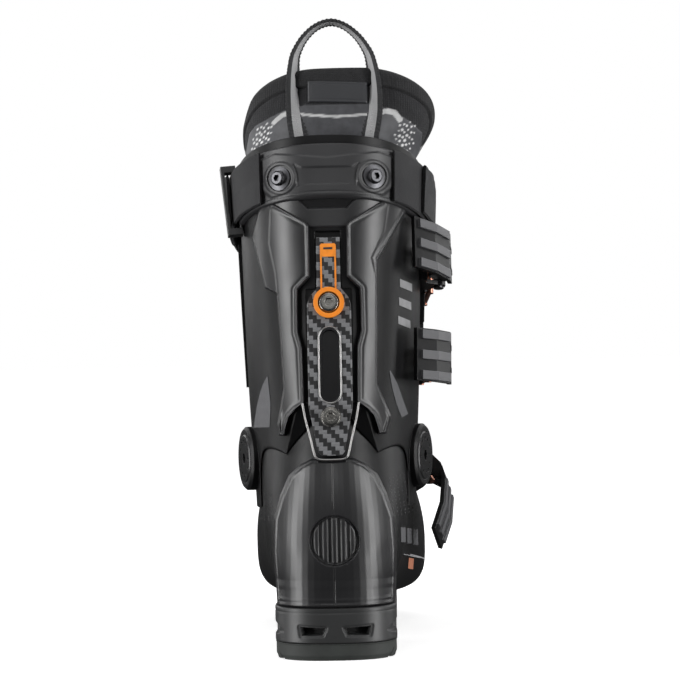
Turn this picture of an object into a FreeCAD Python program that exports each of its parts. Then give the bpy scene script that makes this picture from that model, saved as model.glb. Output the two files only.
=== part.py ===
import FreeCAD, Part
import math
import os
import Sketcher
from FreeCAD import Matrix, Placement, Rotation, Vector

# Right alpine ski boot, worn on the right foot. Frame: +X lateral (outer side), +Y towards the toe, +Z up.
# The origin is the centre of the heel tread, on the ground.

DRIVING = {
    # sole
    "heel_reach": (36.0, "origin to the rear end of the sole"),
    "sole_length": (298.0, "heel tip to toe tip"),
    "sole_half_width": (35.0, "half the width of both sole blocks"),
    "heel_block_length": (70.0, "heel block, along the sole"),
    "toe_block_length": (84.0, "toe block, along the sole"),
    "heel_height": (30.0, "ground to the heel ledge held by a binding"),
    "toe_height": (19.0, "ground to the toe ledge held by a binding"),
    "heel_tread_depth": (9.5, "rubber heel tread"),
    "toe_tread_depth": (7.0, "rubber toe tread"),
    "groove_width": (5.0, "tread groove"),
    "groove_depth": (3.0, "tread groove"),
    # shells
    "shell_wall": (4.2, "wall of the lower shell"),
    "cuff_wall": (3.8, "wall of the cuff"),
    "panel_thick": (2.6, "outer moulded layers on shell and cuff"),
    "flap_thick": (3.0, "overlap flaps"),
    "cuff_lean": (6.5, "lean of the cuff's spine, degrees"),
    "shin_lean": (15.0, "tilt of the cuff's rim and straps, degrees"),
    "cuff_top": (302.0, "height of the rear rim"),
    "spine_foot": (-33.0, "rear face of the spine at the plate's foot"),
    "pivot_y": (40.0, "ankle pivot, forward of the origin"),
    "pivot_z": (113.0, "ankle pivot, above the ground"),
    "flex_range": (8.0, "forward flex, degrees"),
    # spine plate
    "plate_foot_z": (117.0, "height of the plate's foot"),
    "plate_length": (126.0, "plate, along the spine"),
    "plate_thick": (2.6, "plate thickness"),
    "plate_seat": (2.4, "depth of the plate's flat seat below the spine"),
    "plate_head_width": (13.8, "upper stem of the plate"),
    "plate_waist_width": (25.4, "main width of the plate"),
    "plate_foot_width": (15.6, "lower end of the plate"),
    "plate_shoulder": (95.0, "foot to the shoulder below the stem"),
    "plate_taper": (28.0, "foot to the start of the taper"),
    "window_width": (12.6, "slot in the plate"),
    "window_low": (30.0, "foot to the slot's lower end"),
    "window_high": (74.0, "foot to the slot's upper end"),
    "upper_screw": (88.0, "foot to the ringed screw"),
    "lower_screw": (22.0, "foot to the lower screw"),
    "screw_head": (6.0, "radius of the plate screws' heads"),
    "screw_shank": (2.5, "radius of the plate screws' shanks"),
    "hex_socket": (2.2, "half width of a hex socket"),
    "ring_outer": (8.9, "radius of the coloured ring"),
    "ring_inner": (6.3, "inner radius of the coloured ring"),
    "ring_thick": (2.4, "coloured ring"),
    # pivots
    "pivot_radius": (5.0, "pivot bolt's shank"),
    "running_gap": (0.06, "radial clearance of every running fit"),
    "housing_radius": (19.0, "raised housing round a pivot"),
    "housing_tilt": (16.0, "backward tilt of a housing's face, degrees"),
    "housing_face": (54.0, "centre plane to the housing's face"),
    "disc_radius": (14.5, "cant adjuster disc"),
    "disc_thick": (2.5, "cant adjuster disc"),
    # buckles, in the frame of the hinge pin
    "pin_radius": (2.0, "hinge pin"),
    "pin_height": (11.0, "hinge pin above the shell"),
    "ear_inner": (8.5, "inner face of a base ear"),
    "ear_thick": (2.5, "base ear"),
    "ear_radius": (4.0, "rounded end of an ear or cheek"),
    "cheek_inner": (5.2, "inner face of a lever cheek"),
    "cheek_thick": (3.0, "lever cheek"),
    "plate_rise": (4.6, "underside of the lever's handle above the pin"),
    "lever_thick": (2.5, "lever's handle"),
    "lug_back": (11.0, "hinge pin to the lug, backwards"),
    "lug_drop": (3.5, "hinge pin to the lug, inwards"),
    "lug_radius": (3.0, "lug barrel"),
    "journal_radius": (1.5, "lug journal"),
    "stem_radius": (1.9, "threaded stem of the bail"),
    "wire_radius": (1.5, "wire of the bail"),
    "bail_half_width": (9.6, "centre of a bail leg"),
    "ladder_half_width": (7.0, "half the ladder's width"),
    "rivet_radius": (1.8, "rivet shank"),
    "rivet_head": (3.4, "rivet head"),
    # straps and liner
    "strap_height": (33.0, "power strap"),
    "strap_thick": (2.2, "power strap webbing"),
    "strap_bolt_gap": (54.0, "between the two strap bolts"),
    "loop_leg_gap": (50.0, "pull loop, between the legs' centre lines"),
    "loop_width": (12.0, "pull loop webbing"),
    "liner_wall": (7.0, "liner padding"),
    "liner_top": (340.0, "rear rim of the liner"),
}


class Size:
    """A length with the sheet expression that gives it, so that arithmetic on sizes stays bound to the sheet."""

    def __init__(self, value, text=None):
        self.value = float(value)
        self.text = repr(float(value)) if text is None else text

    def __add__(self, other):
        other = as_size(other)
        return Size(self.value + other.value, f"({self.text} + {other.text})")

    def __sub__(self, other):
        other = as_size(other)
        return Size(self.value - other.value, f"({self.text} - {other.text})")

    def __mul__(self, other):
        other = as_size(other)
        return Size(self.value * other.value, f"({self.text} * {other.text})")

    def __truediv__(self, other):
        other = as_size(other)
        return Size(self.value / other.value, f"({self.text} / {other.text})")

    def __neg__(self):
        return Size(-self.value, f"(0 - {self.text})")

    __radd__ = __add__
    __rmul__ = __mul__

    def __rsub__(self, other):
        return as_size(other) - self


def as_size(value):
    return value if isinstance(value, Size) else Size(value)


class Dims:
    """The driving dimensions by name: dims.shell_wall is a Size bound to its sheet cell."""


doc = FreeCAD.newDocument("ski_boot")
sheet = doc.addObject("Spreadsheet::Sheet", "Dims")
dims = Dims()
for row, (alias, (value, meaning)) in enumerate(DRIVING.items(), start=1):
    sheet.set(f"A{row}", meaning)
    sheet.set(f"B{row}", str(value))
    sheet.setAlias(f"B{row}", alias)
    setattr(dims, alias, Size(value, f"Dims.{alias}"))
doc.recompute()

finished = {}


def finish(label, piece):
    """Names a sub-part and keeps it for export."""
    piece.Label = label
    finished[label] = piece
    return piece


# ---------------------------------------------------------------- frames

X_AXIS, Y_AXIS, Z_AXIS = Vector(1, 0, 0), Vector(0, 1, 0), Vector(0, 0, 1)
PIVOT = Vector(0, dims.pivot_y.value, dims.pivot_z.value)


def frame_at(origin, x_axis, y_axis, z_axis):
    return Placement(
        Matrix(
            x_axis.x, y_axis.x, z_axis.x, origin.x,
            x_axis.y, y_axis.y, z_axis.y, origin.y,
            x_axis.z, y_axis.z, z_axis.z, origin.z,
            0, 0, 0, 1,
        )
    )


def frame_on(origin, outward, along_y):
    """A frame whose Z axis is outward and whose Y axis is the part of along_y square to it."""
    z_axis = Vector(outward).normalize()
    y_axis = (along_y - z_axis * along_y.dot(z_axis)).normalize()
    return frame_at(origin, y_axis.cross(z_axis), y_axis, z_axis)


def spine_y(z):
    """Rear face of the cuff's spine, a straight line that leans forward."""
    rise = z - dims.plate_foot_z.value
    return dims.spine_foot.value + rise * math.tan(math.radians(dims.cuff_lean.value))


def spine_frame(height_along, depth=0.0):
    """On the spine, height_along above the plate's foot: X across, Y up the spine, Z outwards, sunk by depth."""
    lean = math.radians(dims.cuff_lean.value)
    up = Vector(0, math.sin(lean), math.cos(lean))
    out = Vector(0, -math.cos(lean), math.sin(lean))
    foot = Vector(0, dims.spine_foot.value, dims.plate_foot_z.value)
    return frame_at(foot + up * height_along - out * depth, X_AXIS, up, out)


# ---------------------------------------------------------------- sketch and feature helpers


def bind(thing, name, size):
    if isinstance(size, Size):
        setattr(thing, name, size.value)
        thing.setExpression(name, size.text)
    else:
        setattr(thing, name, size)


def new_body(name, placement=None):
    body = doc.addObject("PartDesign::Body", name)
    if placement is not None:
        body.Placement = placement
    return body


def new_sketch(body, plane, offset=None):
    sketch = body.newObject("Sketcher::SketchObject", "Profile")
    origin_plane = next(f for f in body.Origin.OriginFeatures if f.Role == plane)
    sketch.AttachmentSupport = [(origin_plane, "")]
    sketch.MapMode = "FlatFace"
    if offset is not None:
        offset = as_size(offset)
        sketch.AttachmentOffset = Placement(Vector(0, 0, offset.value), Rotation())
        sketch.setExpression("AttachmentOffset.Base.z", offset.text)
    return sketch


def pin_point(sketch, element, end, x, y):
    """Holds a sketch point at (x, y), each bound to its size."""
    for kind, size, axis in (("DistanceX", as_size(x), -2), ("DistanceY", as_size(y), -1)):
        if abs(size.value) < 1e-9:
            sketch.addConstraint(Sketcher.Constraint("PointOnObject", element, end, axis))
        else:
            index = sketch.addConstraint(Sketcher.Constraint(kind, -1, 1, element, end, size.value))
            sketch.setExpression(f"Constraints[{index}]", size.text)


def add_polygon(sketch, corners):
    points = [Vector(as_size(x).value, as_size(y).value, 0) for x, y in corners]
    first = sketch.GeometryCount
    count = len(points)
    for i in range(count):
        sketch.addGeometry(Part.LineSegment(points[i], points[(i + 1) % count]), False)
    for i in range(count):
        after = first + (i + 1) % count
        sketch.addConstraint(Sketcher.Constraint("Coincident", first + i, 2, after, 1))
    for i, (x, y) in enumerate(corners):
        pin_point(sketch, first + i, 1, x, y)


def add_circle(sketch, x, y, radius):
    radius = as_size(radius)
    centre = Vector(as_size(x).value, as_size(y).value, 0)
    index = sketch.addGeometry(Part.Circle(centre, Z_AXIS, radius.value), False)
    rule = sketch.addConstraint(Sketcher.Constraint("Radius", index, radius.value))
    sketch.setExpression(f"Constraints[{rule}]", radius.text)
    pin_point(sketch, index, 3, x, y)


def rectangle(x_low, x_high, y_low, y_high):
    return [(x_low, y_low), (x_high, y_low), (x_high, y_high), (x_low, y_high)]


def polygon_sketch(body, plane, corners, offset=None):
    sketch = new_sketch(body, plane, offset)
    add_polygon(sketch, corners)
    return sketch


def circle_sketch(body, plane, circles, offset=None):
    sketch = new_sketch(body, plane, offset)
    for x, y, radius in circles:
        add_circle(sketch, x, y, radius)
    return sketch


def extrude(body, kind, sketch, length, symmetric=False, reverse=False):
    feature = body.newObject("PartDesign::" + kind, kind)
    feature.Profile = sketch
    bind(feature, "Length", as_size(length))
    if symmetric:
        feature.SideType = "Symmetric"
    feature.Reversed = reverse
    doc.recompute()
    return feature


def pad(body, sketch, length, symmetric=False, reverse=False):
    return extrude(body, "Pad", sketch, length, symmetric, reverse)


def pocket(body, sketch, length, symmetric=False, reverse=False):
    """A Pocket that has to remove material."""
    before = body.Shape.Volume
    feature = extrude(body, "Pocket", sketch, length, symmetric, reverse)
    if body.Shape.Volume > before - 1e-6:
        raise RuntimeError(f"the pocket in {body.Name} cuts nothing")
    return feature


def revolve(body, corners, kind="Revolution"):
    """Turns a half profile, given as (radius, height) corners, about the body's Z axis."""
    sketch = polygon_sketch(body, "XZ_Plane", corners)
    feature = body.newObject("PartDesign::" + kind, kind)
    feature.Profile = sketch
    feature.ReferenceAxis = (sketch, ["V_Axis"])
    feature.Angle = 360
    doc.recompute()
    return feature


def edges_where(body, test):
    return [f"Edge{i}" for i, edge in enumerate(body.Tip.Shape.Edges, start=1) if test(edge)]


def dress(body, kind, size, test):
    """Rounds (Fillet) or bevels (Chamfer) the edges that pass the test."""
    feature = body.newObject("PartDesign::" + kind, kind)
    feature.Base = (body.Tip if body.Tip is not feature else feature.BaseFeature, [])
    base = feature.Base[0]
    names = [f"Edge{i}" for i, edge in enumerate(base.Shape.Edges, start=1) if test(edge)]
    feature.Base = (base, names)
    bind(feature, "Radius" if kind == "Fillet" else "Size", as_size(size))
    doc.recompute()
    return feature


def runs_along(direction):
    """Tests for straight edges in a direction of the feature's own frame."""

    def test(edge):
        if edge.Curve.TypeId != "Part::GeomLine":
            return False
        line = (edge.Vertexes[-1].Point - edge.Vertexes[0].Point).normalize()
        return abs(line.dot(direction)) > 0.999

    return test


def mirror(body, feature, plane):
    """Repeats a feature on the other side of an origin plane."""
    copy = body.newObject("PartDesign::Mirrored", "Mirrored")
    copy.Originals = [feature]
    side = next(f for f in body.Origin.OriginFeatures if f.Role == plane)
    copy.MirrorPlane = (side, [""])
    body.Tip = copy
    doc.recompute()
    return copy


def repeat_in_line(body, feature, axis_role, length, count):
    pattern = body.newObject("PartDesign::LinearPattern", "LinearPattern")
    pattern.Originals = [feature]
    axis = next(f for f in body.Origin.OriginFeatures if f.Role == axis_role)
    pattern.Direction = (axis, [""])
    bind(pattern, "Length", as_size(length))
    pattern.Occurrences = count
    body.Tip = pattern
    doc.recompute()
    return pattern


def repeat_round(body, feature, count):
    """Repeats a feature round the body's Z axis."""
    pattern = body.newObject("PartDesign::PolarPattern", "PolarPattern")
    pattern.Originals = [feature]
    axis = next(f for f in body.Origin.OriginFeatures if f.Role == "Z_Axis")
    pattern.Axis = (axis, [""])
    pattern.Angle = 360
    pattern.Occurrences = count
    body.Tip = pattern
    doc.recompute()
    return pattern


def boolean(kind, base, tool):
    result = doc.addObject("Part::" + kind, kind)
    result.Base = base
    result.Tool = tool
    doc.recompute()
    return result


def joined(pieces):
    result = doc.addObject("Part::MultiFuse", "Joined")
    result.Shapes = pieces
    doc.recompute()
    return result


def cylinder(radius, length, placement):
    """A cylinder from the placement's origin along its Z axis."""
    tool = doc.addObject("Part::Cylinder", "Cylinder")
    bind(tool, "Radius", as_size(radius))
    bind(tool, "Height", as_size(length))
    tool.Placement = placement
    doc.recompute()
    return tool


def as_feature(name, shape):
    feature = doc.addObject("Part::Feature", name)
    feature.Shape = shape
    return feature


# ---------------------------------------------------------------- moulded forms

RING_POINTS = 36
# Every ring starts under the front overlaps, so the seam of its skin lies inside the slits.
RING_SEAM = math.radians(80)


def skin(rings):
    """A solid through rings of points, each planar and closed, with flat ends."""
    surface = Part.BSplineSurface()
    surface.interpolate([ring + [ring[0]] for ring in rings])
    first, last = surface.bounds()[0:2]
    caps = [Part.Face(Part.Wire([surface.uIso(u).toShape()])) for u in (first, last)]
    hull = Part.makeShell([surface.toShape()] + caps)
    hull.sewShape()
    solid = Part.makeSolid(hull)
    if solid.Volume < 0:
        solid.reverse()
    return solid


def oval(angle, half_width, low, high, low_power, high_power):
    """(across, along) on a closed oval with separate lower and upper halves; the widest line is at along = 0."""
    c, s = math.cos(angle), math.sin(angle)
    reach, power = (high, high_power) if s > 0 else (low, low_power)
    radius = (abs(c / half_width) ** power + abs(s / reach) ** power) ** (-1 / power)
    return radius * c, radius * s


# Lower shell stations, toe to throat. Each is a plane through the X axis direction and two points of the side
# view: on the sole or heel (y, z), on the instep (y, z), half width, share of the height where it is widest,
# and the powers of the oval's lower and upper halves.
SHELL_STATIONS = [
    ((257.0, 24.0), (257.0, 42.0), 15.0, 0.50, 2.2, 2.2),
    ((254.0, 21.0), (253.0, 52.0), 25.0, 0.50, 2.6, 2.2),
    ((244.0, 19.0), (240.0, 64.0), 36.0, 0.48, 3.2, 2.2),
    ((226.0, 19.0), (219.0, 76.0), 45.5, 0.46, 3.8, 2.2),
    ((200.0, 19.0), (192.0, 89.0), 52.0, 0.42, 4.0, 2.2),
    ((170.0, 19.0), (163.0, 105.0), 54.0, 0.40, 4.0, 2.1),
    ((140.0, 21.0), (138.0, 126.0), 52.5, 0.40, 3.8, 2.0),
    ((108.0, 24.0), (118.0, 143.0), 48.0, 0.42, 3.6, 2.0),
    ((74.0, 27.0), (109.0, 151.0), 45.0, 0.46, 3.4, 2.0),
    ((36.0, 29.0), (106.0, 155.0), 43.5, 0.50, 3.2, 2.0),
    ((0.0, 30.0), (105.0, 158.0), 43.0, 0.52, 3.0, 2.0),
    ((-29.0, 33.0), (104.0, 160.0), 43.0, 0.52, 2.7, 2.0),
    ((-38.0, 56.0), (104.0, 161.5), 43.0, 0.52, 2.5, 2.0),
    ((-37.5, 80.0), (104.0, 163.0), 43.0, 0.54, 2.3, 2.0),
    ((-33.5, 104.0), (104.0, 164.0), 43.0, 0.55, 2.0, 2.0),
    ((-25.5, 126.0), (104.0, 164.4), 43.0, 0.56, 1.9, 2.0),
    ((-17.5, 146.0), (104.0, 164.7), 43.0, 0.56, 1.9, 2.0),
    ((-9.5, 165.0), (104.0, 165.0), 43.0, 0.56, 1.9, 2.0),
]


def shell_ring(station, inset):
    (low_y, low_z), (high_y, high_z), half_width, widest, low_power, high_power = station
    low, high = Vector(0, low_y, low_z), Vector(0, high_y, high_z)
    along = (high - low).normalize()
    span = (high - low).Length
    middle = low + along * (span * widest)
    points = []
    for i in range(RING_POINTS):
        angle = RING_SEAM + 2 * math.pi * i / RING_POINTS
        across, up = oval(
            angle,
            half_width - inset,
            span * widest - inset,
            span * (1 - widest) - inset,
            low_power,
            high_power,
        )
        points.append(middle + X_AXIS * across + along * up)
    return points


def shell_form(inset, first=0, lift=0.0):
    """The lower shell's outer form, drawn in by inset; lift raises its open top."""
    rings = [shell_ring(station, inset) for station in SHELL_STATIONS[first:]]
    if lift:
        rings.append([point + Vector(0, lift * 0.2, lift) for point in rings[-1]])
    return skin(rings)


# Levels of a standing form: height, rear, front, half width, widest line, powers of the rear and front halves.
def spine_levels(rows, rear_inset=0.0):
    """Levels whose rear follows the cuff's spine."""
    return [(z, spine_y(z) + rear_inset, *rest) for z, *rest in rows]


CUFF_LEVELS = spine_levels(
    [
        (66.0, 121.0, 47.5, 60.0, 1.8, 2.8),
        (92.0, 119.0, 48.5, 59.0, 1.8, 2.8),
        (120.0, 116.0, 49.8, 59.0, 1.85, 2.6),
        (155.0, 116.5, 51.5, 59.0, 2.0, 2.4),
        (200.0, 128.0, 53.0, 61.0, 2.15, 2.3),
        (250.0, 142.0, 54.5, 66.0, 2.25, 2.3),
        (315.0, 161.0, 58.0, 74.0, 2.3, 2.3),
    ]
)
LINER_LEVELS = spine_levels(
    [
        (150.0, 108.0, 43.5, 60.0, 2.0, 2.3),
        (200.0, 122.0, 47.0, 61.0, 2.15, 2.3),
        (250.0, 136.0, 48.5, 66.0, 2.25, 2.3),
        (290.0, 145.5, 51.0, 70.0, 2.3, 2.3),
        (314.0, 150.5, 57.5, 69.0, 2.3, 2.3),
        (340.0, 152.0, 58.5, 67.0, 2.3, 2.3),
        (375.0, 155.0, 55.0, 66.0, 2.1, 2.3),
    ],
    rear_inset=8.6,
)


def level_ring(level, inset, rear_inset):
    z, rear, front, half_width, widest, rear_power, front_power = level
    points = []
    for i in range(RING_POINTS):
        angle = RING_SEAM + 2 * math.pi * i / RING_POINTS
        across, along = oval(
            angle,
            half_width - inset,
            widest - rear - rear_inset,
            front - widest - inset,
            rear_power,
            front_power,
        )
        points.append(Vector(across, widest + along, z))
    return points


def inside_form(inset, lift=0.0):
    """The lower shell's form drawn in by inset and kept clear of its toe wall."""
    return shell_form(inset, 1, lift).common(Part.makeBox(160, 320, 260, Vector(-80, -69, -10)))


LEVEL_STEP = 16.0


def eased(rows, z):
    """A level at height z between the table's rows, each value on a smooth curve that never overshoots."""
    i = next(k for k in range(len(rows) - 1) if z <= rows[k + 1][0] + 1e-9)
    span = rows[i + 1][0] - rows[i][0]
    t = (z - rows[i][0]) / span

    def slope(k, column):
        if k in (0, len(rows) - 1):
            j = max(k, 1)
            return (rows[j][column] - rows[j - 1][column]) / (rows[j][0] - rows[j - 1][0])
        before = (rows[k][column] - rows[k - 1][column]) / (rows[k][0] - rows[k - 1][0])
        after = (rows[k + 1][column] - rows[k][column]) / (rows[k + 1][0] - rows[k][0])
        return 0.0 if before * after <= 0 else 2 * before * after / (before + after)

    values = [z]
    for column in range(1, len(rows[0])):
        start, end = rows[i][column], rows[i + 1][column]
        rise = (3 - 2 * t) * t * t
        leave = t * (1 - t) ** 2 * span * slope(i, column)
        arrive = t * t * (t - 1) * span * slope(i + 1, column)
        values.append(start + (end - start) * rise + leave + arrive)
    return values


def standing_form(levels, inset, rear_inset=None):
    if rear_inset is None:
        rear_inset = inset
    low, high = levels[0][0], levels[-1][0]
    count = round((high - low) / LEVEL_STEP)
    heights = [low + (high - low) * i / count for i in range(count + 1)]
    return skin([level_ring(eased(levels, z), inset, rear_inset) for z in heights])


def cuff_form(inset, rear_inset=None):
    return standing_form(CUFF_LEVELS, inset, rear_inset)


def liner_form(inset):
    return standing_form(LINER_LEVELS, inset)


def side_prism(outline, half_width=120.0):
    """Extrudes a side view outline of (y, z) corners right across the boot."""
    corners = [Vector(-half_width, y, z) for y, z in outline]
    face = Part.Face(Part.makePolygon(corners + corners[:1]))
    return face.extrude(Vector(2 * half_width, 0, 0))


def rear_prism(outline, near=-70.0, far=30.0):
    """Extrudes a rear view outline of (x, z) corners along Y."""
    corners = [Vector(x, near, z) for x, z in outline]
    face = Part.Face(Part.makePolygon(corners + corners[:1]))
    return face.extrude(Vector(0, far - near, 0))


def rim_z(y, drop=0.0):
    """Height of the tilted plane of the cuff's rim at y, lowered by drop."""
    tilt = math.tan(math.radians(dims.shin_lean.value))
    return dims.cuff_top.value - drop - (y - spine_y(dims.cuff_top.value)) * tilt


def layer(form, inner_lift, outer_lift):
    """The skin between two outsets of a form."""
    return form(-outer_lift).cut(form(-inner_lift))


# ---------------------------------------------------------------- buckle frames

# Each buckle's frame: the origin on its hinge pin, X towards the ladder, Y along the pin, Z away from the boot.


def buckle_frame(seat, outward, along_pin):
    """The frame of a buckle seated at a point of the shell's surface."""
    out = Vector(outward).normalize()
    return frame_on(seat + out * dims.pin_height.value, out, along_pin)


def tilted_up(degrees):
    turn = math.radians(degrees)
    return Vector(0, math.sin(turn), math.cos(turn))


UPPER_BUCKLE = buckle_frame(Vector(53.6, 62, 225), Vector(0.992, 0.12, -0.03), tilted_up(16))
LOWER_BUCKLE = buckle_frame(Vector(51.9, 60, 169), Vector(0.988, 0.15, -0.03), tilted_up(5))
INSTEP_BUCKLE = buckle_frame(Vector(43.5, 114.6, 103), Vector(0.857, 0.131, 0.499), Vector(-0.144, -0.867, 0.474))
BASE_REACH = 13.0


def in_frame(shape, frame):
    placed = shape.copy()
    placed.Placement = frame
    return placed


def behind_ladder(frame):
    """The space of a buckle's base, which a flap must leave free."""
    return in_frame(Part.makeBox(60, 50, 60, Vector(BASE_REACH + 1.2 - 60, -25, -45)), frame)


# ---------------------------------------------------------------- lower shell

shell_outer = shell_form(0.0)
SHELL_KEEP_OUT = shell_form(-1.0, lift=1.0)

SLIT_LATERAL, SLIT_MEDIAL = 20.0, -2.0
THROAT_OUTLINE = [(112, 170), (121, 118), (152, 92), (178, 82), (178, 150), (150, 175)]
FLAP_OUTLINE = [(112, 150), (116, 124), (126, 112), (172, 86), (196, 78), (200, 120), (160, 150)]


def lower_shell_walls():
    walls = shell_outer.cut(shell_form(dims.shell_wall.value, 1, 3.0))
    opening = side_prism(THROAT_OUTLINE)
    across = Part.makeBox(SLIT_LATERAL - SLIT_MEDIAL, 200, 200, Vector(SLIT_MEDIAL, 60, 0))
    return walls.cut(opening.common(across))


def shell_flap():
    """Overlap flap from the medial side over the instep slit."""
    sheet_form = layer(shell_form, 0.3, 0.3 + dims.flap_thick.value)
    reach = Part.makeBox(84, 220, 200, Vector(-42, 60, 0))
    return sheet_form.common(side_prism(FLAP_OUTLINE)).common(reach).cut(behind_ladder(INSTEP_BUCKLE))


walls = as_feature("ShellWalls", lower_shell_walls())

# Half width of the heel panel at each height.
HEEL_PANEL_HALF = [
    (33.1, 36.0),
    (62.0, 35.5),
    (78.0, 35.0),
    (96.0, 29.5),
    (107.0, 24.0),
    (114.0, 17.5),
]


def heel_panel_layer():
    corners = [(-x, z) for z, x in HEEL_PANEL_HALF] + [(x, z) for z, x in reversed(HEEL_PANEL_HALF)]
    outline = rear_prism(corners, -70.0, 8.0)
    plate_gap = Part.makeBox(22, 60, 40, Vector(-11, -70, 110))
    return layer(shell_form, 0.0, dims.panel_thick.value).common(outline).cut(plate_gap)


heel_layer = as_feature("HeelLayer", heel_panel_layer())
recess_frame = frame_at(Vector(0, -34, 69), Vector(-1, 0, 0), Z_AXIS, Vector(0, -1, 0))
recess_tool = cylinder(dims.disc_radius, 12.0, recess_frame)
finish("heel_panel", boolean("Cut", heel_layer, recess_tool))

# ---------------------------------------------------------------- soles

HEEL_SCREWS = [(-22.0, -18.0), (22.0, -18.0), (-22.0, 20.0), (22.0, 20.0)]
TOE_SCREWS = [(-22.0, 192.0), (22.0, 192.0), (-18.0, 236.0), (18.0, 236.0)]
SOLE_SCREW_SHANK, SOLE_SCREW_HEAD, SOLE_HEAD_DEPTH = 2.0, 3.8, 3.0
trim_shell = as_feature("ShellTrim", shell_form(-0.02))


def block_corners(rear, front, half_width, rear_bevel, front_bevel):
    """A plan view outline with bevelled corners, to be rounded; lengths run along Y."""
    return [
        (-half_width, rear + rear_bevel),
        (-half_width + rear_bevel, rear),
        (half_width - rear_bevel, rear),
        (half_width, rear + rear_bevel),
        (half_width, front - front_bevel),
        (half_width - front_bevel, front),
        (-half_width + front_bevel, front),
        (-half_width, front - front_bevel),
    ]


def sole_block(name, outline, low, high, screws):
    """A sole block standing from low to high with stepped screw holes; high is trimmed to the shell later."""
    body = new_body(name)
    pad(body, polygon_sketch(body, "XY_Plane", outline, low), as_size(high) - low)
    dress(body, "Fillet", 4.0, runs_along(Z_AXIS))
    shanks = circle_sketch(body, "XY_Plane", [(x, y, SOLE_SCREW_SHANK) for x, y in screws], low)
    pocket(body, shanks, as_size(high) - low, reverse=True)
    heads = circle_sketch(body, "XY_Plane", [(x, y, SOLE_SCREW_HEAD + 0.2) for x, y in screws], low)
    pocket(body, heads, SOLE_HEAD_DEPTH + 0.2, reverse=True)
    return body


def tread(name, outline, high, screws, groove_rows):
    """A rubber tread from the ground to high, with cross grooves and screw wells."""
    body = new_body(name)
    pad(body, polygon_sketch(body, "XY_Plane", outline), high)
    dress(body, "Fillet", 4.0, runs_along(Z_AXIS))
    wells = circle_sketch(body, "XY_Plane", [(x, y, SOLE_SCREW_HEAD + 0.6) for x, y in screws])
    pocket(body, wells, high, reverse=True)
    for y in groove_rows:
        row = rectangle(-60, 60, y, y + dims.groove_width)
        pocket(body, polygon_sketch(body, "XY_Plane", row), dims.groove_depth, reverse=True)
    return body


heel_rear, heel_front = -dims.heel_reach, dims.heel_block_length - dims.heel_reach
toe_front = dims.sole_length - dims.heel_reach
toe_rear = toe_front - dims.toe_block_length
half = dims.sole_half_width
heel_outline = block_corners(heel_rear, heel_front, half, 10.0, 3.0)
toe_outline = block_corners(toe_rear, toe_front, half, 3.0, 20.0)

heel_block = sole_block("HeelBlock", heel_outline, dims.heel_tread_depth, dims.heel_height + 3.0, HEEL_SCREWS)
# Two windows in the block's rear face and one notch in each flank.
for low, high in ((-19.0, -5.0), (5.0, 19.0)):
    trapezoid = [(low + 2, 14.5), (high - 2, 14.5), (high, 21.0), (low, 21.0)]
    window = polygon_sketch(heel_block, "XZ_Plane", trapezoid, dims.heel_reach + 1.0)
    pocket(heel_block, window, 6.0)
for side in (-1, 1):
    notch = rectangle(half - 3.0, half + 6.0, -14.0, -2.0)
    if side < 0:
        notch = rectangle(-half - 6.0, 3.0 - half, -14.0, -2.0)
    pocket(heel_block, polygon_sketch(heel_block, "XY_Plane", notch, 14.0), 9.0, reverse=True)
finish("heel_sole_block", boolean("Cut", heel_block, trim_shell))

toe_block = sole_block("ToeBlock", toe_outline, dims.toe_tread_depth, dims.toe_height + 3.0, TOE_SCREWS)
finish("toe_sole_block", boolean("Cut", toe_block, trim_shell))

heel_pad_outline = block_corners(heel_rear + 0.8, heel_front - 0.8, half - 0.8, 9.5, 3.0)
toe_pad_outline = block_corners(toe_rear + 0.8, toe_front - 2.0, half - 0.8, 3.0, 20.0)
finish("heel_tread", tread("HeelTread", heel_pad_outline, dims.heel_tread_depth, HEEL_SCREWS, (-9.0, 5.0)))
toe_pad = tread("ToeTread", toe_pad_outline, dims.toe_tread_depth, TOE_SCREWS, (200.0, 212.0, 224.0))
finish("toe_tread", toe_pad)


def sole_screw(x, y, low, high):
    """A pan head screw from low up to high."""
    foot = Placement(Vector(x, y, low), Rotation())
    head = cylinder(SOLE_SCREW_HEAD, SOLE_HEAD_DEPTH, foot)
    shank = cylinder(SOLE_SCREW_SHANK, high - low, foot)
    return joined([head, shank])


screws = [sole_screw(x, y, dims.heel_tread_depth.value, 32.5) for x, y in HEEL_SCREWS]
screws += [sole_screw(x, y, dims.toe_tread_depth.value, 22.0) for x, y in TOE_SCREWS]
finish("sole_screws", joined(screws))
sole_holes = [
    cylinder(SOLE_SCREW_SHANK, 10.0, Placement(Vector(x, y, top - 10.0), Rotation()))
    for pairs, top in ((HEEL_SCREWS, 32.5), (TOE_SCREWS, 22.0))
    for x, y in pairs
]

# ---------------------------------------------------------------- boot board, footbed and liner foot


def under_ramp(lift):
    """Everything below the foot's ramp raised by lift: 45 mm high at the heel, 29 mm at the toes."""
    return side_prism([(-60, -20), (280, -20), (280, 29 + lift), (-60, 45 + lift)])


board = inside_form(dims.shell_wall.value + 0.4).common(under_ramp(0.0))
finish("boot_board", as_feature("BootBoard", board))

LINER_FOOT_SIDE = [(-60, 0), (280, 0), (280, 158), (-60, 158)]
foot_outer = inside_form(dims.shell_wall.value + 1.0, 1.0).cut(under_ramp(0.4))
foot_room = Part.makeBox(160, 313, 260, Vector(-80, -69, -10))
foot_inner = shell_form(dims.shell_wall.value + 7.0, 1, 3.0).common(foot_room).cut(under_ramp(4.4))
foot_walls = foot_outer.cut(foot_inner).common(side_prism(LINER_FOOT_SIDE))
bed_room = Part.makeBox(160, 311, 260, Vector(-80, -69, -10))
bed = shell_form(dims.shell_wall.value + 7.4, 1).common(bed_room).cut(under_ramp(4.8)).common(under_ramp(8.0))
finish("footbed", as_feature("Footbed", bed))

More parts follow.
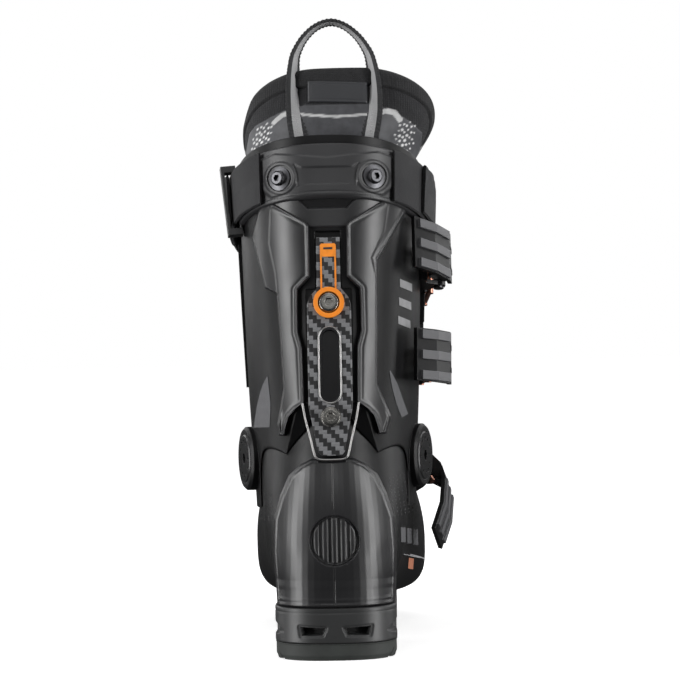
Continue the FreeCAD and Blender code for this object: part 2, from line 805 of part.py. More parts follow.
# ---------------------------------------------------------------- cuff

CUFF_SIDE = [
    (-60, rim_z(-60)),
    (-60, 147),
    (-23.5, 147),
    (-19, 128),
    (-12, 106),
    (-1, 93),
    (14, 84),
    (52, 84),
    (72, 97),
    (91, 127),
    (106, 163),
    (180, 163),
    (180, rim_z(180)),
]
CUFF_REAR_INSET = 6.2
SLIT_FRONT = 70.0
housing_turn = math.radians(dims.housing_tilt.value)


def pivot_frame(side, reach):
    """On the pivot's side (1 lateral, -1 medial): Z along the tilted face normal, the origin at reach across."""
    out = Vector(side * math.cos(housing_turn), -math.sin(housing_turn), 0)
    return frame_on(Vector(side * reach, PIVOT.y, PIVOT.z), out, Z_AXIS)


def axle_frame(side, start):
    """On the flex axis, Z pointing outwards across the boot."""
    return frame_on(Vector(side * start, PIVOT.y, PIVOT.z), Vector(side, 0, 0), Z_AXIS)


def cuff_tube():
    tube = cuff_form(0.0).common(side_prism(CUFF_SIDE))
    housings = []
    for side in (-1, 1):
        housing = Part.makeCylinder(dims.housing_radius.value, 20)
        housing = housing.makeChamfer(1.5, [max(housing.Edges, key=lambda e: e.CenterOfMass.z)])
        housing.Placement = pivot_frame(side, dims.housing_face.value) * Placement(Vector(0, 0, -20), Rotation())
        housings.append(housing)
    hollow = cuff_form(dims.cuff_wall.value, CUFF_REAR_INSET)
    tube = tube.cut(hollow).fuse([housing.cut(hollow) for housing in housings])
    tube = tube.cut(SHELL_KEEP_OUT)
    slit = Part.makeBox(22, 120, 220, Vector(-2, SLIT_FRONT, 120))
    return tube.cut(slit)


cuff_walls = as_feature("CuffWalls", cuff_tube())


def front_flap():
    """Overlap flap of the cuff, from the medial side over the front to the lateral buckles."""
    sheet_form = layer(cuff_form, 0.3, 0.3 + dims.flap_thick.value)
    outline = [(74, 155), (108, 155), (118, 164), (190, 164), (190, rim_z(190, 4)), (72, rim_z(72, 4))]
    flap = sheet_form.common(side_prism(outline))
    return flap.cut([behind_ladder(UPPER_BUCKLE), behind_ladder(LOWER_BUCKLE)])


# Rear view outline of one back panel lobe, lateral side (x, z); the medial lobe is its mirror image.
PANEL_LOBE = [
    (10.4, 261),
    (34.0, 261),
    (45.0, 256),
    (45.5, 246),
    (29.0, 228),
    (28.0, 186),
    (27.0, 158),
    (33.0, 140),
    (31.0, 130),
    (25.0, 129),
    (17.5, 146),
    (14.6, 182),
    (17.6, 186),
    (17.6, 208),
    (10.2, 216),
]


def back_panel():
    lobes = [rear_prism([(side * x, z) for x, z in PANEL_LOBE]) for side in (1, -1)]
    bridge = rear_prism([(-12, 250), (12, 250), (12, 261), (-12, 261)])
    skin_layer = layer(cuff_form, 0.0, dims.panel_thick.value)
    shape = skin_layer.common(lobes[0].fuse([lobes[1], bridge]))
    return shape.cut(SHELL_KEEP_OUT).common(side_prism(CUFF_SIDE))


def seat_box(half_width, low, high):
    """Room for the spine plate, sunk into the cuff."""
    box = doc.addObject("Part::Box", "Seat")
    bind(box, "Length", as_size(half_width) * 2)
    bind(box, "Width", as_size(high) - low)
    box.Height = 20
    corner = Placement(Vector(-as_size(half_width).value, 0, 0), Rotation())
    box.Placement = spine_frame(as_size(low).value, dims.plate_seat.value) * corner
    doc.recompute()
    return box


# ---------------------------------------------------------------- spine plate

plate_body = new_body("SpinePlate", spine_frame(0.0, dims.plate_seat.value))
head_half, waist_half, foot_half = (
    dims.plate_head_width / 2,
    dims.plate_waist_width / 2,
    dims.plate_foot_width / 2,
)
plate_outline = [
    (-foot_half + 2.0, 0),
    (foot_half - 2.0, 0),
    (foot_half, 2.5),
    (waist_half, dims.plate_taper),
    (waist_half, dims.plate_shoulder - 8.0),
    (waist_half - 1.6, dims.plate_shoulder - 3.5),
    (head_half, dims.plate_shoulder + 1.5),
    (head_half, dims.plate_length),
    (-head_half, dims.plate_length),
    (-head_half, dims.plate_shoulder + 1.5),
    (1.6 - waist_half, dims.plate_shoulder - 3.5),
    (-waist_half, dims.plate_shoulder - 8.0),
    (-waist_half, dims.plate_taper),
    (-foot_half, 2.5),
]
pad(plate_body, polygon_sketch(plate_body, "XY_Plane", plate_outline), dims.plate_thick)
window_half = dims.window_width / 2


def rounded_slot(body, kind, half_width, low, high, start, length, reverse=False):
    """A slot with round ends between heights low and high, padded or pocketed from start."""
    ends = [low + half_width, high - half_width]
    middle = rectangle(-half_width, half_width, ends[0], ends[1])
    extrude(body, kind, polygon_sketch(body, "XY_Plane", middle, start), length, reverse=reverse)
    for end in ends:
        extrude(body, kind, circle_sketch(body, "XY_Plane", [(0, end, half_width)], start), length, reverse=reverse)


rounded_slot(plate_body, "Pocket", window_half, dims.window_low, dims.window_high, 0.0, dims.plate_thick, True)
plate_holes = [(0, dims.upper_screw, dims.screw_shank), (0, dims.lower_screw, dims.screw_shank)]
pocket(plate_body, circle_sketch(plate_body, "XY_Plane", plate_holes), dims.plate_thick, reverse=True)
top_edge = dims.plate_thick.value
dress(plate_body, "Chamfer", 0.5, lambda edge: edge.BoundBox.ZMin > top_edge - 0.01 and edge.Length > 20)
finish("spine_plate", plate_body)

slot_body = new_body("SlotLiner", spine_frame(0.0, dims.plate_seat.value))
rounded_slot(slot_body, "Pad", window_half, dims.window_low, dims.window_high, 0.0, dims.plate_thick + 0.3)
rounded_slot(
    slot_body,
    "Pocket",
    window_half - 1.6,
    dims.window_low + 1.6,
    dims.window_high - 1.6,
    1.0,
    dims.plate_thick,
    True,
)
finish("spine_slot_liner", slot_body)


def hex_corners(half_width):
    reach = half_width / math.cos(math.radians(30))
    return [(reach * math.cos(math.radians(60 * i)), reach * math.sin(math.radians(60 * i))) for i in range(6)]


def cap_screw(name, placement, shank_length, head_height, socket_depth):
    """A domed cap screw: its head stands on the frame's XY plane and its shank runs inwards."""
    body = new_body(name, placement)
    head, shank = dims.screw_head, dims.screw_shank
    outline = [
        (0, -as_size(shank_length)),
        (shank - 0.4, -as_size(shank_length)),
        (shank, 0.8 - as_size(shank_length)),
        (shank, 0),
        (head, 0),
        (head, head_height * 0.45),
        (head - 0.7, head_height * 0.85),
        (head - 2.0, head_height),
        (0, head_height),
    ]
    revolve(body, outline)
    socket = polygon_sketch(body, "XY_Plane", hex_corners(dims.hex_socket.value), head_height)
    pocket(body, socket, socket_depth)
    return body


plate_face = -dims.plate_seat.value + dims.plate_thick.value
upper_seat = spine_frame(dims.upper_screw.value, -plate_face)
lower_seat = spine_frame(dims.lower_screw.value, -plate_face)
finish("spine_upper_screw", cap_screw("UpperScrew", upper_seat, dims.plate_thick + 3.2, 3.0, 2.0))
finish("spine_lower_screw", cap_screw("LowerScrew", lower_seat, dims.plate_thick + 10.4, 3.4, 2.0))
ring_body = new_body("SpineRing", upper_seat)
revolve(ring_body, rectangle(dims.ring_inner, dims.ring_outer, 0, dims.ring_thick))
finish("spine_ring", ring_body)
upper_screw_hole = cylinder(dims.screw_shank, 8.0, spine_frame(dims.upper_screw.value, 7.9))

# ---------------------------------------------------------------- pivots

AXLE_HEAD_START = 35.8
bolt_holes_shell, bolt_holes_cuff, disc_recesses, head_rooms = [], [], [], []
washer_room = as_feature("WasherRoom", cuff_form(dims.cuff_wall.value + 0.45, CUFF_REAR_INSET))
for side, side_name in ((1, "lateral"), (-1, "medial")):
    bolt = new_body("PivotBolt", axle_frame(side, AXLE_HEAD_START))
    shank = dims.pivot_radius
    revolve(bolt, [(0, 0), (7.0, 0), (8.0, 0.8), (8.0, 2.0), (shank, 2.0), (shank, 12.6), (shank - 0.8, 13.4), (0, 13.4)])
    pocket(bolt, polygon_sketch(bolt, "XY_Plane", hex_corners(3.0)), 2.5, reverse=True)
    finish(f"{side_name}_pivot_bolt", bolt)
    bolt_holes_shell.append(cylinder(dims.pivot_radius, 14.0, axle_frame(side, 33.0)))
    bolt_holes_cuff.append(cylinder(dims.pivot_radius + dims.running_gap, 8.5, axle_frame(side, 41.0)))
    head_rooms.append(cylinder(9.5, 12.0, axle_frame(side, 30.0)))
    face = pivot_frame(side, dims.housing_face.value)
    sunk = face * Placement(Vector(0, 0, -dims.disc_thick.value), Rotation())
    disc_recesses.append(cylinder(dims.disc_radius + dims.running_gap, 8.0, sunk))

    outer_washer = cylinder(9.0, 6.0, axle_frame(side, 41.5))
    washer_bore = cylinder(dims.pivot_radius + 0.1, 6.0, axle_frame(side, 41.5))
    ring = boolean("Cut", boolean("Common", outer_washer, washer_room), washer_bore)
    finish(f"{side_name}_pivot_washer", boolean("Cut", ring, trim_shell))

    disc = new_body("CantDisc", sunk)
    rim, thick = dims.disc_radius, dims.disc_thick
    revolve(disc, [(0, 0), (rim, 0), (rim, thick - 0.3), (rim - 0.8, thick + 0.5), (0, thick + 0.5)])
    pocket(disc, polygon_sketch(disc, "XY_Plane", hex_corners(3.0), thick + 0.5), 2.2)
    dot = pocket(disc, circle_sketch(disc, "XY_Plane", [(10.4, 0, 0.9)], thick + 0.5), 0.8)
    repeat_round(disc, dot, 12)
    finish(f"{side_name}_cant_disc", disc)

# ---------------------------------------------------------------- power strap

YOKE_LIFT, STRAP_LIFT = 3.4, 3.7
STRAP_TOP_DROP = 5.5


def strap_band(shrink):
    """The space between the strap's two tilted edges, narrowed by shrink on each."""
    high, low = STRAP_TOP_DROP + shrink, STRAP_TOP_DROP + dims.strap_height.value - shrink
    rows = [(-60, rim_z(-60, low)), (190, rim_z(190, low)), (190, rim_z(190, high)), (-60, rim_z(-60, high))]
    return side_prism(rows)


def strap_layer(low, high, shrink, room):
    return layer(cuff_form, low, high).common(strap_band(shrink)).common(room)


yoke_room = Part.makeBox(104, 100, 120, Vector(-52, -80, 220))
yoke_walls = as_feature("YokeWalls", strap_layer(0.02, YOKE_LIFT, 0.0, yoke_room))
bolt_half_gap = dims.strap_bolt_gap.value / 2
bolt_seats = [
    frame_on(Vector(side * bolt_half_gap, -11.0, 277), Vector(side * 0.5, -0.86, 0.1), Z_AXIS) for side in (-1, 1)
]
strap_bolts = []
for seat in bolt_seats:
    bolt = new_body("StrapBolt", seat)
    revolve(bolt, [(0, -5.5), (2.4, -5.5), (2.4, 0), (7.0, 0), (7.0, 0.9), (4.4, 1.4), (4.2, 3.2), (3.4, 4.0), (0, 4.0)])
    pocket(bolt, polygon_sketch(bolt, "XY_Plane", hex_corners(1.8), 4.0), 2.0)
    strap_bolts.append(bolt)
finish("strap_bolts", joined(strap_bolts))
strap_bolt_room = [cylinder(7.0, 8.0, seat) for seat in bolt_seats]
strap_bolt_holes = [
    cylinder(2.4, 8.0, seat * Placement(Vector(0, 0, -8.0), Rotation())) for seat in bolt_seats
]
yoke_shape = yoke_walls.Shape
for tool in strap_bolt_room + strap_bolt_holes:
    yoke_shape = yoke_shape.cut(tool.Shape)
finish("power_strap_yoke", as_feature("StrapYoke", yoke_shape))

strap_room = Part.makeBox(200, 250, 250, Vector(-100, 4, 150))
strap_shape = strap_layer(STRAP_LIFT, STRAP_LIFT + dims.strap_thick.value, 1.0, strap_room)
finish("power_strap", as_feature("PowerStrap", strap_shape))
tail_room = Part.makeBox(100, 82, 250, Vector(10, 16, 150))
tail_lift = STRAP_LIFT + dims.strap_thick.value + 0.2
tail_shape = strap_layer(tail_lift, tail_lift + dims.strap_thick.value, 2.0, tail_room)
finish("power_strap_tail", as_feature("StrapTail", tail_shape))

# The slider loop the strap runs through, on the medial side: X outwards, Y along the loop's long side.
loop_frame = frame_on(Vector(-52.9, 33, rim_z(33, 22)), Vector(-0.15, 1, -0.27), Vector(-0.075, 0, 1))
slider = new_body("StrapSlider", loop_frame)
slider_half, slider_deep = dims.strap_height / 2 + 5.0, 6.0
pad(slider, polygon_sketch(slider, "XY_Plane", rectangle(0.7, 9.6, -slider_half, slider_half)), slider_deep)
opening = rectangle(2.0, 7.6, -slider_half + 4.0, slider_half - 4.0)
pocket(slider, polygon_sketch(slider, "XY_Plane", opening), slider_deep, reverse=True)
finish("power_strap_loop", slider)

# ---------------------------------------------------------------- liner

LINER_SIDE = [
    (-60, 168),
    (40, 168),
    (190, 202),
    (190, 292),
    (110, 297),
    (66, 310),
    (34, 327),
    (4, 339),
    (-60, 341),
]
LACE_GAP = 24.0


def liner_skin(side_outline):
    return liner_form(0.0).common(side_prism(side_outline)).cut(liner_form(dims.liner_wall.value))


def front_column(half_width):
    return Part.makeBox(2 * half_width, 120, 260, Vector(-half_width, 78, 130))


collar = liner_skin(LINER_SIDE).cut(front_column(LACE_GAP))
finish("liner_cuff", as_feature("LinerCuff", collar))
tongue_side = [(60, 186), (190, 214), (190, 322), (60, 322)]
tongue = liner_skin(tongue_side).common(front_column(LACE_GAP - 0.5))
finish("liner_tongue", as_feature("LinerTongue", tongue))


def arch_outline(half_width, foot, crown):
    """A rear view arch: upright legs from foot, closed by half an ellipse up to crown."""
    spring = crown - half_width * 0.85
    bow = []
    for step in range(13):
        angle = math.pi * step / 12
        bow.append((half_width * math.cos(angle), spring + (crown - spring) * math.sin(angle)))
    return [(half_width, foot)] + bow + [(-half_width, foot)]


outer_half = (dims.loop_leg_gap.value + dims.loop_width.value) / 2
inner_half = (dims.loop_leg_gap.value - dims.loop_width.value) / 2
arch = rear_prism(arch_outline(outer_half, 299, 365)).cut(
    rear_prism(arch_outline(inner_half, 290, 365 - dims.loop_width.value))
)
loop_shape = layer(liner_form, 0.3, 1.7).common(arch)
finish("liner_pull_loop", as_feature("PullLoop", loop_shape))

# ---------------------------------------------------------------- buckles

TOOTH_PITCH, TOOTH_COUNT, TOOTH_HEIGHT = 8.0, 3, 3.8
FIRST_TOOTH, LADDER_START, LADDER_END = 20.0, 15.5, 51.0
LADDER_TOP = -5.6
PLATE_TOP = -8.5
BURIED = -19.0
BASE_RIVETS = [(-9.0, 0.0), (9.0, 0.0)]
LADDER_RIVETS = [(47.6, -4.0), (47.6, 4.0)]
LADDER_RIVET_HEAD = 2.5
LUG = (-dims.lug_back, -dims.lug_drop)
HOOK_GAP, CROSSBAR_RADIUS, YOKE_X = 0.6, 1.6, 12.0
CROSSBAR_X = FIRST_TOOTH + TOOTH_PITCH * (TOOTH_COUNT - 1) + HOOK_GAP + CROSSBAR_RADIUS

trim_cuff = as_feature("CuffTrim", cuff_form(-0.02))
flap_lift = 0.3 + dims.flap_thick.value + 0.02
trim_cuff_flap = as_feature("CuffFlapTrim", cuff_form(-flap_lift))
trim_shell_flap = as_feature("ShellFlapTrim", shell_form(-flap_lift))
rivet_stop_cuff = as_feature("CuffRivetStop", cuff_form(2.6))
rivet_stop_shell = as_feature("ShellRivetStop", shell_form(2.6))
flap_stop_cuff = as_feature("CuffFlapStop", cuff_form(-0.3))
flap_stop_shell = as_feature("ShellFlapStop", shell_form(-0.3))


def buckle_base(frame, carrier):
    """A riveted base plate with two ears for the hinge pins, its underside fitted to the shell."""
    body = new_body("BuckleBase", frame)
    outer = dims.ear_inner + dims.ear_thick
    plan = rectangle(-BASE_REACH, BASE_REACH, -outer, outer)
    pad(body, polygon_sketch(body, "XY_Plane", plan, BURIED), PLATE_TOP - BURIED)
    rivet_holes = circle_sketch(body, "XY_Plane", [(x, y, dims.rivet_radius) for x, y in BASE_RIVETS], BURIED)
    pocket(body, rivet_holes, PLATE_TOP - BURIED, reverse=True)
    r = dims.ear_radius
    ear = [(-7.0, PLATE_TOP), (7.0, PLATE_TOP), (r, -1.0), (r, 1.8), (1.8, r), (-1.8, r), (-r, 1.8), (-r, -1.0)]
    for start in (dims.ear_inner, -outer):
        profile = polygon_sketch(body, "XZ_Plane", ear, start)
        add_circle(profile, 0, 0, dims.pin_radius)
        pad(body, profile, dims.ear_thick)
    return boolean("Cut", body, carrier)


def hinge_pins(frame):
    """Two headed stub pins, leaving the middle free for the bail."""
    pieces = []
    outer = dims.ear_inner + dims.ear_thick
    for turn in (-90, 90):
        along = frame * Placement(Vector(), Rotation(X_AXIS, turn))
        start = along * Placement(Vector(0, 0, dims.cheek_inner.value), Rotation())
        shank = cylinder(dims.pin_radius, outer - dims.cheek_inner + 1.4, start)
        head_start = along * Placement(Vector(0, 0, outer.value), Rotation())
        pieces.append(joined([shank, cylinder(3.0, 1.4, head_start)]))
    return joined(pieces)


HANDLE_UNDER = [(-14.0, 4.6), (-26.0, 1.0), (-40.0, -9.0), (-52.0, -22.5)]
HANDLE_OVER = [(-53.9, -20.8), (-41.7, -7.05), (-27.1, 3.25), (-14.0, 7.1)]
HANDLE_START = -20.0
HANDLE_HALF = 15.5


def buckle_lever(frame):
    """A curved lever: two cheeks on the hinge pins, a broad handle and three grip bars."""
    body = new_body("BuckleLever", frame)
    handle = [
        (HANDLE_START, 2.8),
        *HANDLE_UNDER[1:],
        *HANDLE_OVER[:3],
        (HANDLE_START, 5.3),
    ]
    pad(body, polygon_sketch(body, "XZ_Plane", handle), HANDLE_HALF * 2, symmetric=True)
    cheek = [
        (-8.0, -6.2),
        (-4.0, -3.4),
        (3.0, -2.8),
        (4.0, 0.0),
        (3.0, 2.8),
        (0.0, 4.0),
        (-14.0, 6.6),
        (-25.0, 4.2),
        (-25.0, 1.8),
        (-16.0, -3.0),
        (-14.2, -6.0),
        (-11.0, -7.1),
    ]
    outer = dims.cheek_inner + dims.cheek_thick
    for start in (dims.cheek_inner, -outer):
        profile = polygon_sketch(body, "XZ_Plane", cheek, start)
        add_circle(profile, 0, 0, dims.pin_radius + dims.running_gap)
        add_circle(profile, LUG[0], LUG[1], dims.journal_radius + dims.running_gap)
        pad(body, profile, dims.cheek_thick)
    bar = [(-28.0, 2.6), (-41.7, -7.05), (-51.5, -18.1), (-50.6, -19.1), (-41.1, -8.5), (-27.6, 1.3)]
    raised = [(x - 0.9, z + 1.0) for x, z in bar[:3]] + bar[3:]
    for low, high in ((-14.6, -9.4), (-2.6, 2.6), (9.4, 14.6)):
        pad(body, polygon_sketch(body, "XZ_Plane", raised, -high), high - low)
    return body


def buckle_lug(frame):
    """The barrel that links lever and bail, with a journal at each end and a bore for the stem."""
    body = new_body("BuckleLug", frame)
    barrel = circle_sketch(body, "XZ_Plane", [(*LUG, dims.lug_radius)])
    pad(body, barrel, dims.cheek_inner * 2 - 0.4, symmetric=True)
    journals = circle_sketch(body, "XZ_Plane", [(*LUG, dims.journal_radius)])
    pad(body, journals, (dims.cheek_inner + dims.cheek_thick) * 2, symmetric=True)
    bore = circle_sketch(body, "YZ_Plane", [(0, LUG[1], dims.stem_radius + dims.running_gap)], LUG[0] - 6.0)
    pocket(body, bore, 12.0, reverse=True)
    return body


def buckle_bail(frame):
    """A wire loop on a threaded stem, hooked in front of the ladder's last tooth."""
    body = new_body("BuckleBail", frame)
    height, reach = LUG[1], dims.bail_half_width
    stem = circle_sketch(body, "YZ_Plane", [(0, height, dims.stem_radius)], LUG[0] - 7.5)
    pad(body, stem, YOKE_X + 7.5 - LUG[0])
    yoke = circle_sketch(body, "XZ_Plane", [(YOKE_X, height, dims.stem_radius)])
    pad(body, yoke, reach * 2 + 4.6, symmetric=True)
    legs = circle_sketch(body, "YZ_Plane", [(y, height, dims.wire_radius) for y in (-reach, reach)], YOKE_X)
    pad(body, legs, CROSSBAR_X - YOKE_X)
    bar = circle_sketch(body, "XZ_Plane", [(CROSSBAR_X, height, CROSSBAR_RADIUS)])
    pad(body, bar, reach * 2 + 4.0, symmetric=True)
    return body


def buckle_ladder(frame, carrier):
    """A toothed catch plate, its underside fitted to the flap."""
    body = new_body("BuckleLadder", frame)
    half_width = dims.ladder_half_width
    plan = rectangle(LADDER_START, LADDER_END, -half_width, half_width)
    pad(body, polygon_sketch(body, "XY_Plane", plan, BURIED), LADDER_TOP - BURIED)
    x, top = FIRST_TOOTH, LADDER_TOP
    tooth_profile = [(x - 4.4, top), (x, top), (x, top + TOOTH_HEIGHT), (x - 1.3, top + TOOTH_HEIGHT)]
    tooth = pad(body, polygon_sketch(body, "XZ_Plane", tooth_profile), half_width * 2, symmetric=True)
    repeat_in_line(body, tooth, "X_Axis", TOOTH_PITCH * (TOOTH_COUNT - 1), TOOTH_COUNT)
    holes = circle_sketch(body, "XY_Plane", [(x, y, dims.rivet_radius) for x, y in LADDER_RIVETS], BURIED)
    pocket(body, holes, LADDER_TOP - BURIED, reverse=True)
    return boolean("Cut", body, carrier)


def rivet(frame, x, y, seat, head_radius, stop):
    """A domed rivet through a plate whose top is at seat; its shank ends at the stop form."""
    at_seat = frame * Placement(Vector(x, y, seat), Rotation())
    at_foot = frame * Placement(Vector(x, y, BURIED), Rotation())
    head = cylinder(head_radius, 1.1, at_seat)
    shank = boolean("Cut", cylinder(dims.rivet_radius, seat - BURIED + 0.2, at_foot), stop)
    return joined([head, shank])


def rivet_hole(frame, x, y):
    return cylinder(dims.rivet_radius, 24.0, frame * Placement(Vector(x, y, -28.0), Rotation()))


def fit_buckle(name, frame, carrier, flap_carrier, base_stop, flap_stop):
    """Makes one buckle; returns its rivets, the holes in its carrier and the holes in its flap."""
    finish(f"{name}_buckle_base", buckle_base(frame, carrier))
    finish(f"{name}_buckle_pins", hinge_pins(frame))
    finish(f"{name}_buckle_lever", buckle_lever(frame))
    finish(f"{name}_buckle_lug", buckle_lug(frame))
    finish(f"{name}_buckle_bail", buckle_bail(frame))
    finish(f"{name}_buckle_ladder", buckle_ladder(frame, flap_carrier))
    rivets = [rivet(frame, x, y, PLATE_TOP, dims.rivet_head, base_stop) for x, y in BASE_RIVETS]
    rivets += [rivet(frame, x, y, LADDER_TOP, LADDER_RIVET_HEAD, flap_stop) for x, y in LADDER_RIVETS]
    base_holes = [rivet_hole(frame, x, y) for x, y in BASE_RIVETS]
    ladder_holes = [rivet_hole(frame, x, y) for x, y in LADDER_RIVETS]
    return rivets, base_holes, ladder_holes


upper_rivets, upper_holes, upper_flap_holes = fit_buckle(
    "upper", UPPER_BUCKLE, trim_cuff, trim_cuff_flap, rivet_stop_cuff, flap_stop_cuff
)
lower_rivets, lower_holes, lower_flap_holes = fit_buckle(
    "lower", LOWER_BUCKLE, trim_cuff, trim_cuff_flap, rivet_stop_cuff, flap_stop_cuff
)
instep_rivets, instep_holes, instep_flap_holes = fit_buckle(
    "instep", INSTEP_BUCKLE, trim_shell, trim_shell_flap, rivet_stop_shell, flap_stop_shell
)
finish("cuff_rivets", joined(upper_rivets + lower_rivets))
finish("shell_rivets", joined(instep_rivets))

# ---------------------------------------------------------------- bored shells and flaps

spine_slot = doc.addObject("Part::Box", "SpineSlot")
slot_half = dims.screw_shank + 0.3
bind(spine_slot, "Length", slot_half * 2)
spine_slot.Width = 26
spine_slot.Height = 20
spine_slot.Placement = Placement(Vector(-slot_half.value, -34, 133.5), Rotation())
doc.recompute()

shell_tools = joined(sole_holes + bolt_holes_shell + instep_holes + [spine_slot])
finish("lower_shell", boolean("Cut", walls, shell_tools))
instep_sheet = shell_flap()
for hole in instep_flap_holes:
    instep_sheet = instep_sheet.cut(hole.Shape)
finish("instep_flap", as_feature("InstepFlap", instep_sheet))

plate_room = seat_box(dims.plate_waist_width / 2 + 0.6, -20.0, dims.plate_shoulder + 1.5)
stem_room = seat_box(dims.plate_head_width / 2 + 0.6, dims.plate_shoulder, dims.plate_length + 4.0)
seat_holes = [upper_screw_hole] + strap_bolt_holes
cuff_tools = joined(
    bolt_holes_cuff + disc_recesses + upper_holes + lower_holes + seat_holes + [plate_room, stem_room]
)
finish("cuff", boolean("Cut", cuff_walls, cuff_tools))
panel_sheet = as_feature("BackPanel", back_panel())
finish("cuff_back_panel", panel_sheet)
flap_shape = front_flap()
for hole in upper_flap_holes + lower_flap_holes:
    flap_shape = flap_shape.cut(hole.Shape)
finish("cuff_front_flap", as_feature("CuffFlap", flap_shape))

foot_sock = as_feature("LinerFoot", foot_walls)
finish("liner_foot", boolean("Cut", foot_sock, joined(head_rooms)))

# ---------------------------------------------------------------- checks and export

doc.recompute()
for thing in doc.Objects:
    if any(word in state for state in thing.State for word in ("Invalid", "Error")):
        raise RuntimeError(f"{thing.Name} ({thing.Label}) did not compute: {thing.State}")
os.makedirs("parts", exist_ok=True)
broken = [label for label, piece in finished.items() if piece.Shape.isNull() or not piece.Shape.isValid()]
if broken:
    raise RuntimeError(f"no valid shape: {broken}")
for label, piece in finished.items():
    piece.Shape.exportStep(f"parts/{label}.step")
print(f"wrote {len(finished)} sub-parts")
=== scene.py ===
"""Looks of a right-foot alpine ski boot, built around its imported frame.

Forms are worked out in millimetres: x to the outer side, y to the toe, z up. "lift" is a distance off a
form's surface. Each form repeats the levels or stations of its CAD solid, so that relief lies on that solid.
Soft goods are displaced meshes.
"""

import math

import bpy
import numpy as np
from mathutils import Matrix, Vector
from mathutils.bvhtree import BVHTree


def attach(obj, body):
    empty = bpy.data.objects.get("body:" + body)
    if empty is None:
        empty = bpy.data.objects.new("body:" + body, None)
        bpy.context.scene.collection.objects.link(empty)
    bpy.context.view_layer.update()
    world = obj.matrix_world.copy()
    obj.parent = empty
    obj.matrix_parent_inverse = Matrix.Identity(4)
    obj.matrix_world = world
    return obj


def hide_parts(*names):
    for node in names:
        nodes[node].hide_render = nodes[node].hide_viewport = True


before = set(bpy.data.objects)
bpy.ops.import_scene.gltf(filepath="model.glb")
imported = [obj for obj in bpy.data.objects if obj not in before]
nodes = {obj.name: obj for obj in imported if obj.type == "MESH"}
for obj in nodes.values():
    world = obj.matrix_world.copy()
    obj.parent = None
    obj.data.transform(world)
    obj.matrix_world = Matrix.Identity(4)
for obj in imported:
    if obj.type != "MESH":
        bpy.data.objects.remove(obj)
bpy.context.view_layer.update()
MM = 0.001

HEEL_REAR = -36.0  # depth of the heel's rear, where the rear view is to scale
YAW = math.radians(1.5)  # how far the eye stands to the outer side
EYE_BACK, EYE_HEIGHT = 1500.0, 183.0
EYE_MM = np.array([EYE_BACK * math.sin(YAW), HEEL_REAR - EYE_BACK * math.cos(YAW), EYE_HEIGHT])

# ------------------------------------------------------------------ forms of shell, cuff and liner


SPINE_LEAN = math.radians(6.5)  # forward lean of the cuff's rear line
SPINE_FOOT_Y, SPINE_FOOT_Z = -33.0, 117.0
RIM_HEIGHT, RIM_TILT = 302.0, math.radians(15.0)


def spine_y(z):
    """Depth of the cuff's rear line at height z."""
    return SPINE_FOOT_Y + (z - SPINE_FOOT_Z) * math.tan(SPINE_LEAN)


def rim_z(y, drop=0.0):
    """Height of the cuff's tilted rim plane at depth y, lowered by drop."""
    return RIM_HEIGHT - drop - (y - spine_y(RIM_HEIGHT)) * math.tan(RIM_TILT)


# Levels: height, rear, front, half width, widest line, powers of the rear and front halves.
CUFF_LEVELS = np.array(
    [
        (z, spine_y(z), *rest)
        for z, *rest in [
            (66.0, 121.0, 47.5, 60.0, 1.8, 2.8),
            (92.0, 119.0, 48.5, 59.0, 1.8, 2.8),
            (120.0, 116.0, 49.8, 59.0, 1.85, 2.6),
            (155.0, 116.5, 51.5, 59.0, 2.0, 2.4),
            (200.0, 128.0, 53.0, 61.0, 2.15, 2.3),
            (250.0, 142.0, 54.5, 66.0, 2.25, 2.3),
            (315.0, 161.0, 58.0, 74.0, 2.3, 2.3),
        ]
    ]
)
LINER_GAP = 8.6  # from the cuff's rear line to the liner's
LINER_LEVELS = np.array(
    [
        (z, spine_y(z) + LINER_GAP, *rest)
        for z, *rest in [
            (150.0, 108.0, 43.5, 60.0, 2.0, 2.3),
            (200.0, 122.0, 47.0, 61.0, 2.15, 2.3),
            (250.0, 136.0, 48.5, 66.0, 2.25, 2.3),
            (290.0, 145.5, 51.0, 70.0, 2.3, 2.3),
            (314.0, 150.5, 57.5, 69.0, 2.3, 2.3),
            (340.0, 152.0, 58.5, 67.0, 2.3, 2.3),
            (375.0, 155.0, 55.0, 66.0, 2.1, 2.3),
        ]
    ]
)
# Stations of the lower shell: low (y, z), high (y, z), half width, widest share, powers of the lower and
# upper halves.
SHELL_STATIONS = [
    (200.0, 19.0, 192.0, 89.0, 52.0, 0.42, 4.0, 2.2),
    (170.0, 19.0, 163.0, 105.0, 54.0, 0.40, 4.0, 2.1),
    (140.0, 21.0, 138.0, 126.0, 52.5, 0.40, 3.8, 2.0),
    (108.0, 24.0, 118.0, 143.0, 48.0, 0.42, 3.6, 2.0),
    (74.0, 27.0, 109.0, 151.0, 45.0, 0.46, 3.4, 2.0),
    (36.0, 29.0, 106.0, 155.0, 43.5, 0.50, 3.2, 2.0),
    (0.0, 30.0, 105.0, 158.0, 43.0, 0.52, 3.0, 2.0),
    (-29.0, 33.0, 104.0, 160.0, 43.0, 0.52, 2.7, 2.0),
    (-38.0, 56.0, 104.0, 161.5, 43.0, 0.52, 2.5, 2.0),
    (-37.5, 80.0, 104.0, 163.0, 43.0, 0.54, 2.3, 2.0),
    (-33.5, 104.0, 104.0, 164.0, 43.0, 0.55, 2.0, 2.0),
    (-25.5, 126.0, 104.0, 164.4, 43.0, 0.56, 1.9, 2.0),
    (-17.5, 146.0, 104.0, 164.7, 43.0, 0.56, 1.9, 2.0),
    (-9.5, 165.0, 104.0, 165.0, 43.0, 0.56, 1.9, 2.0),
]


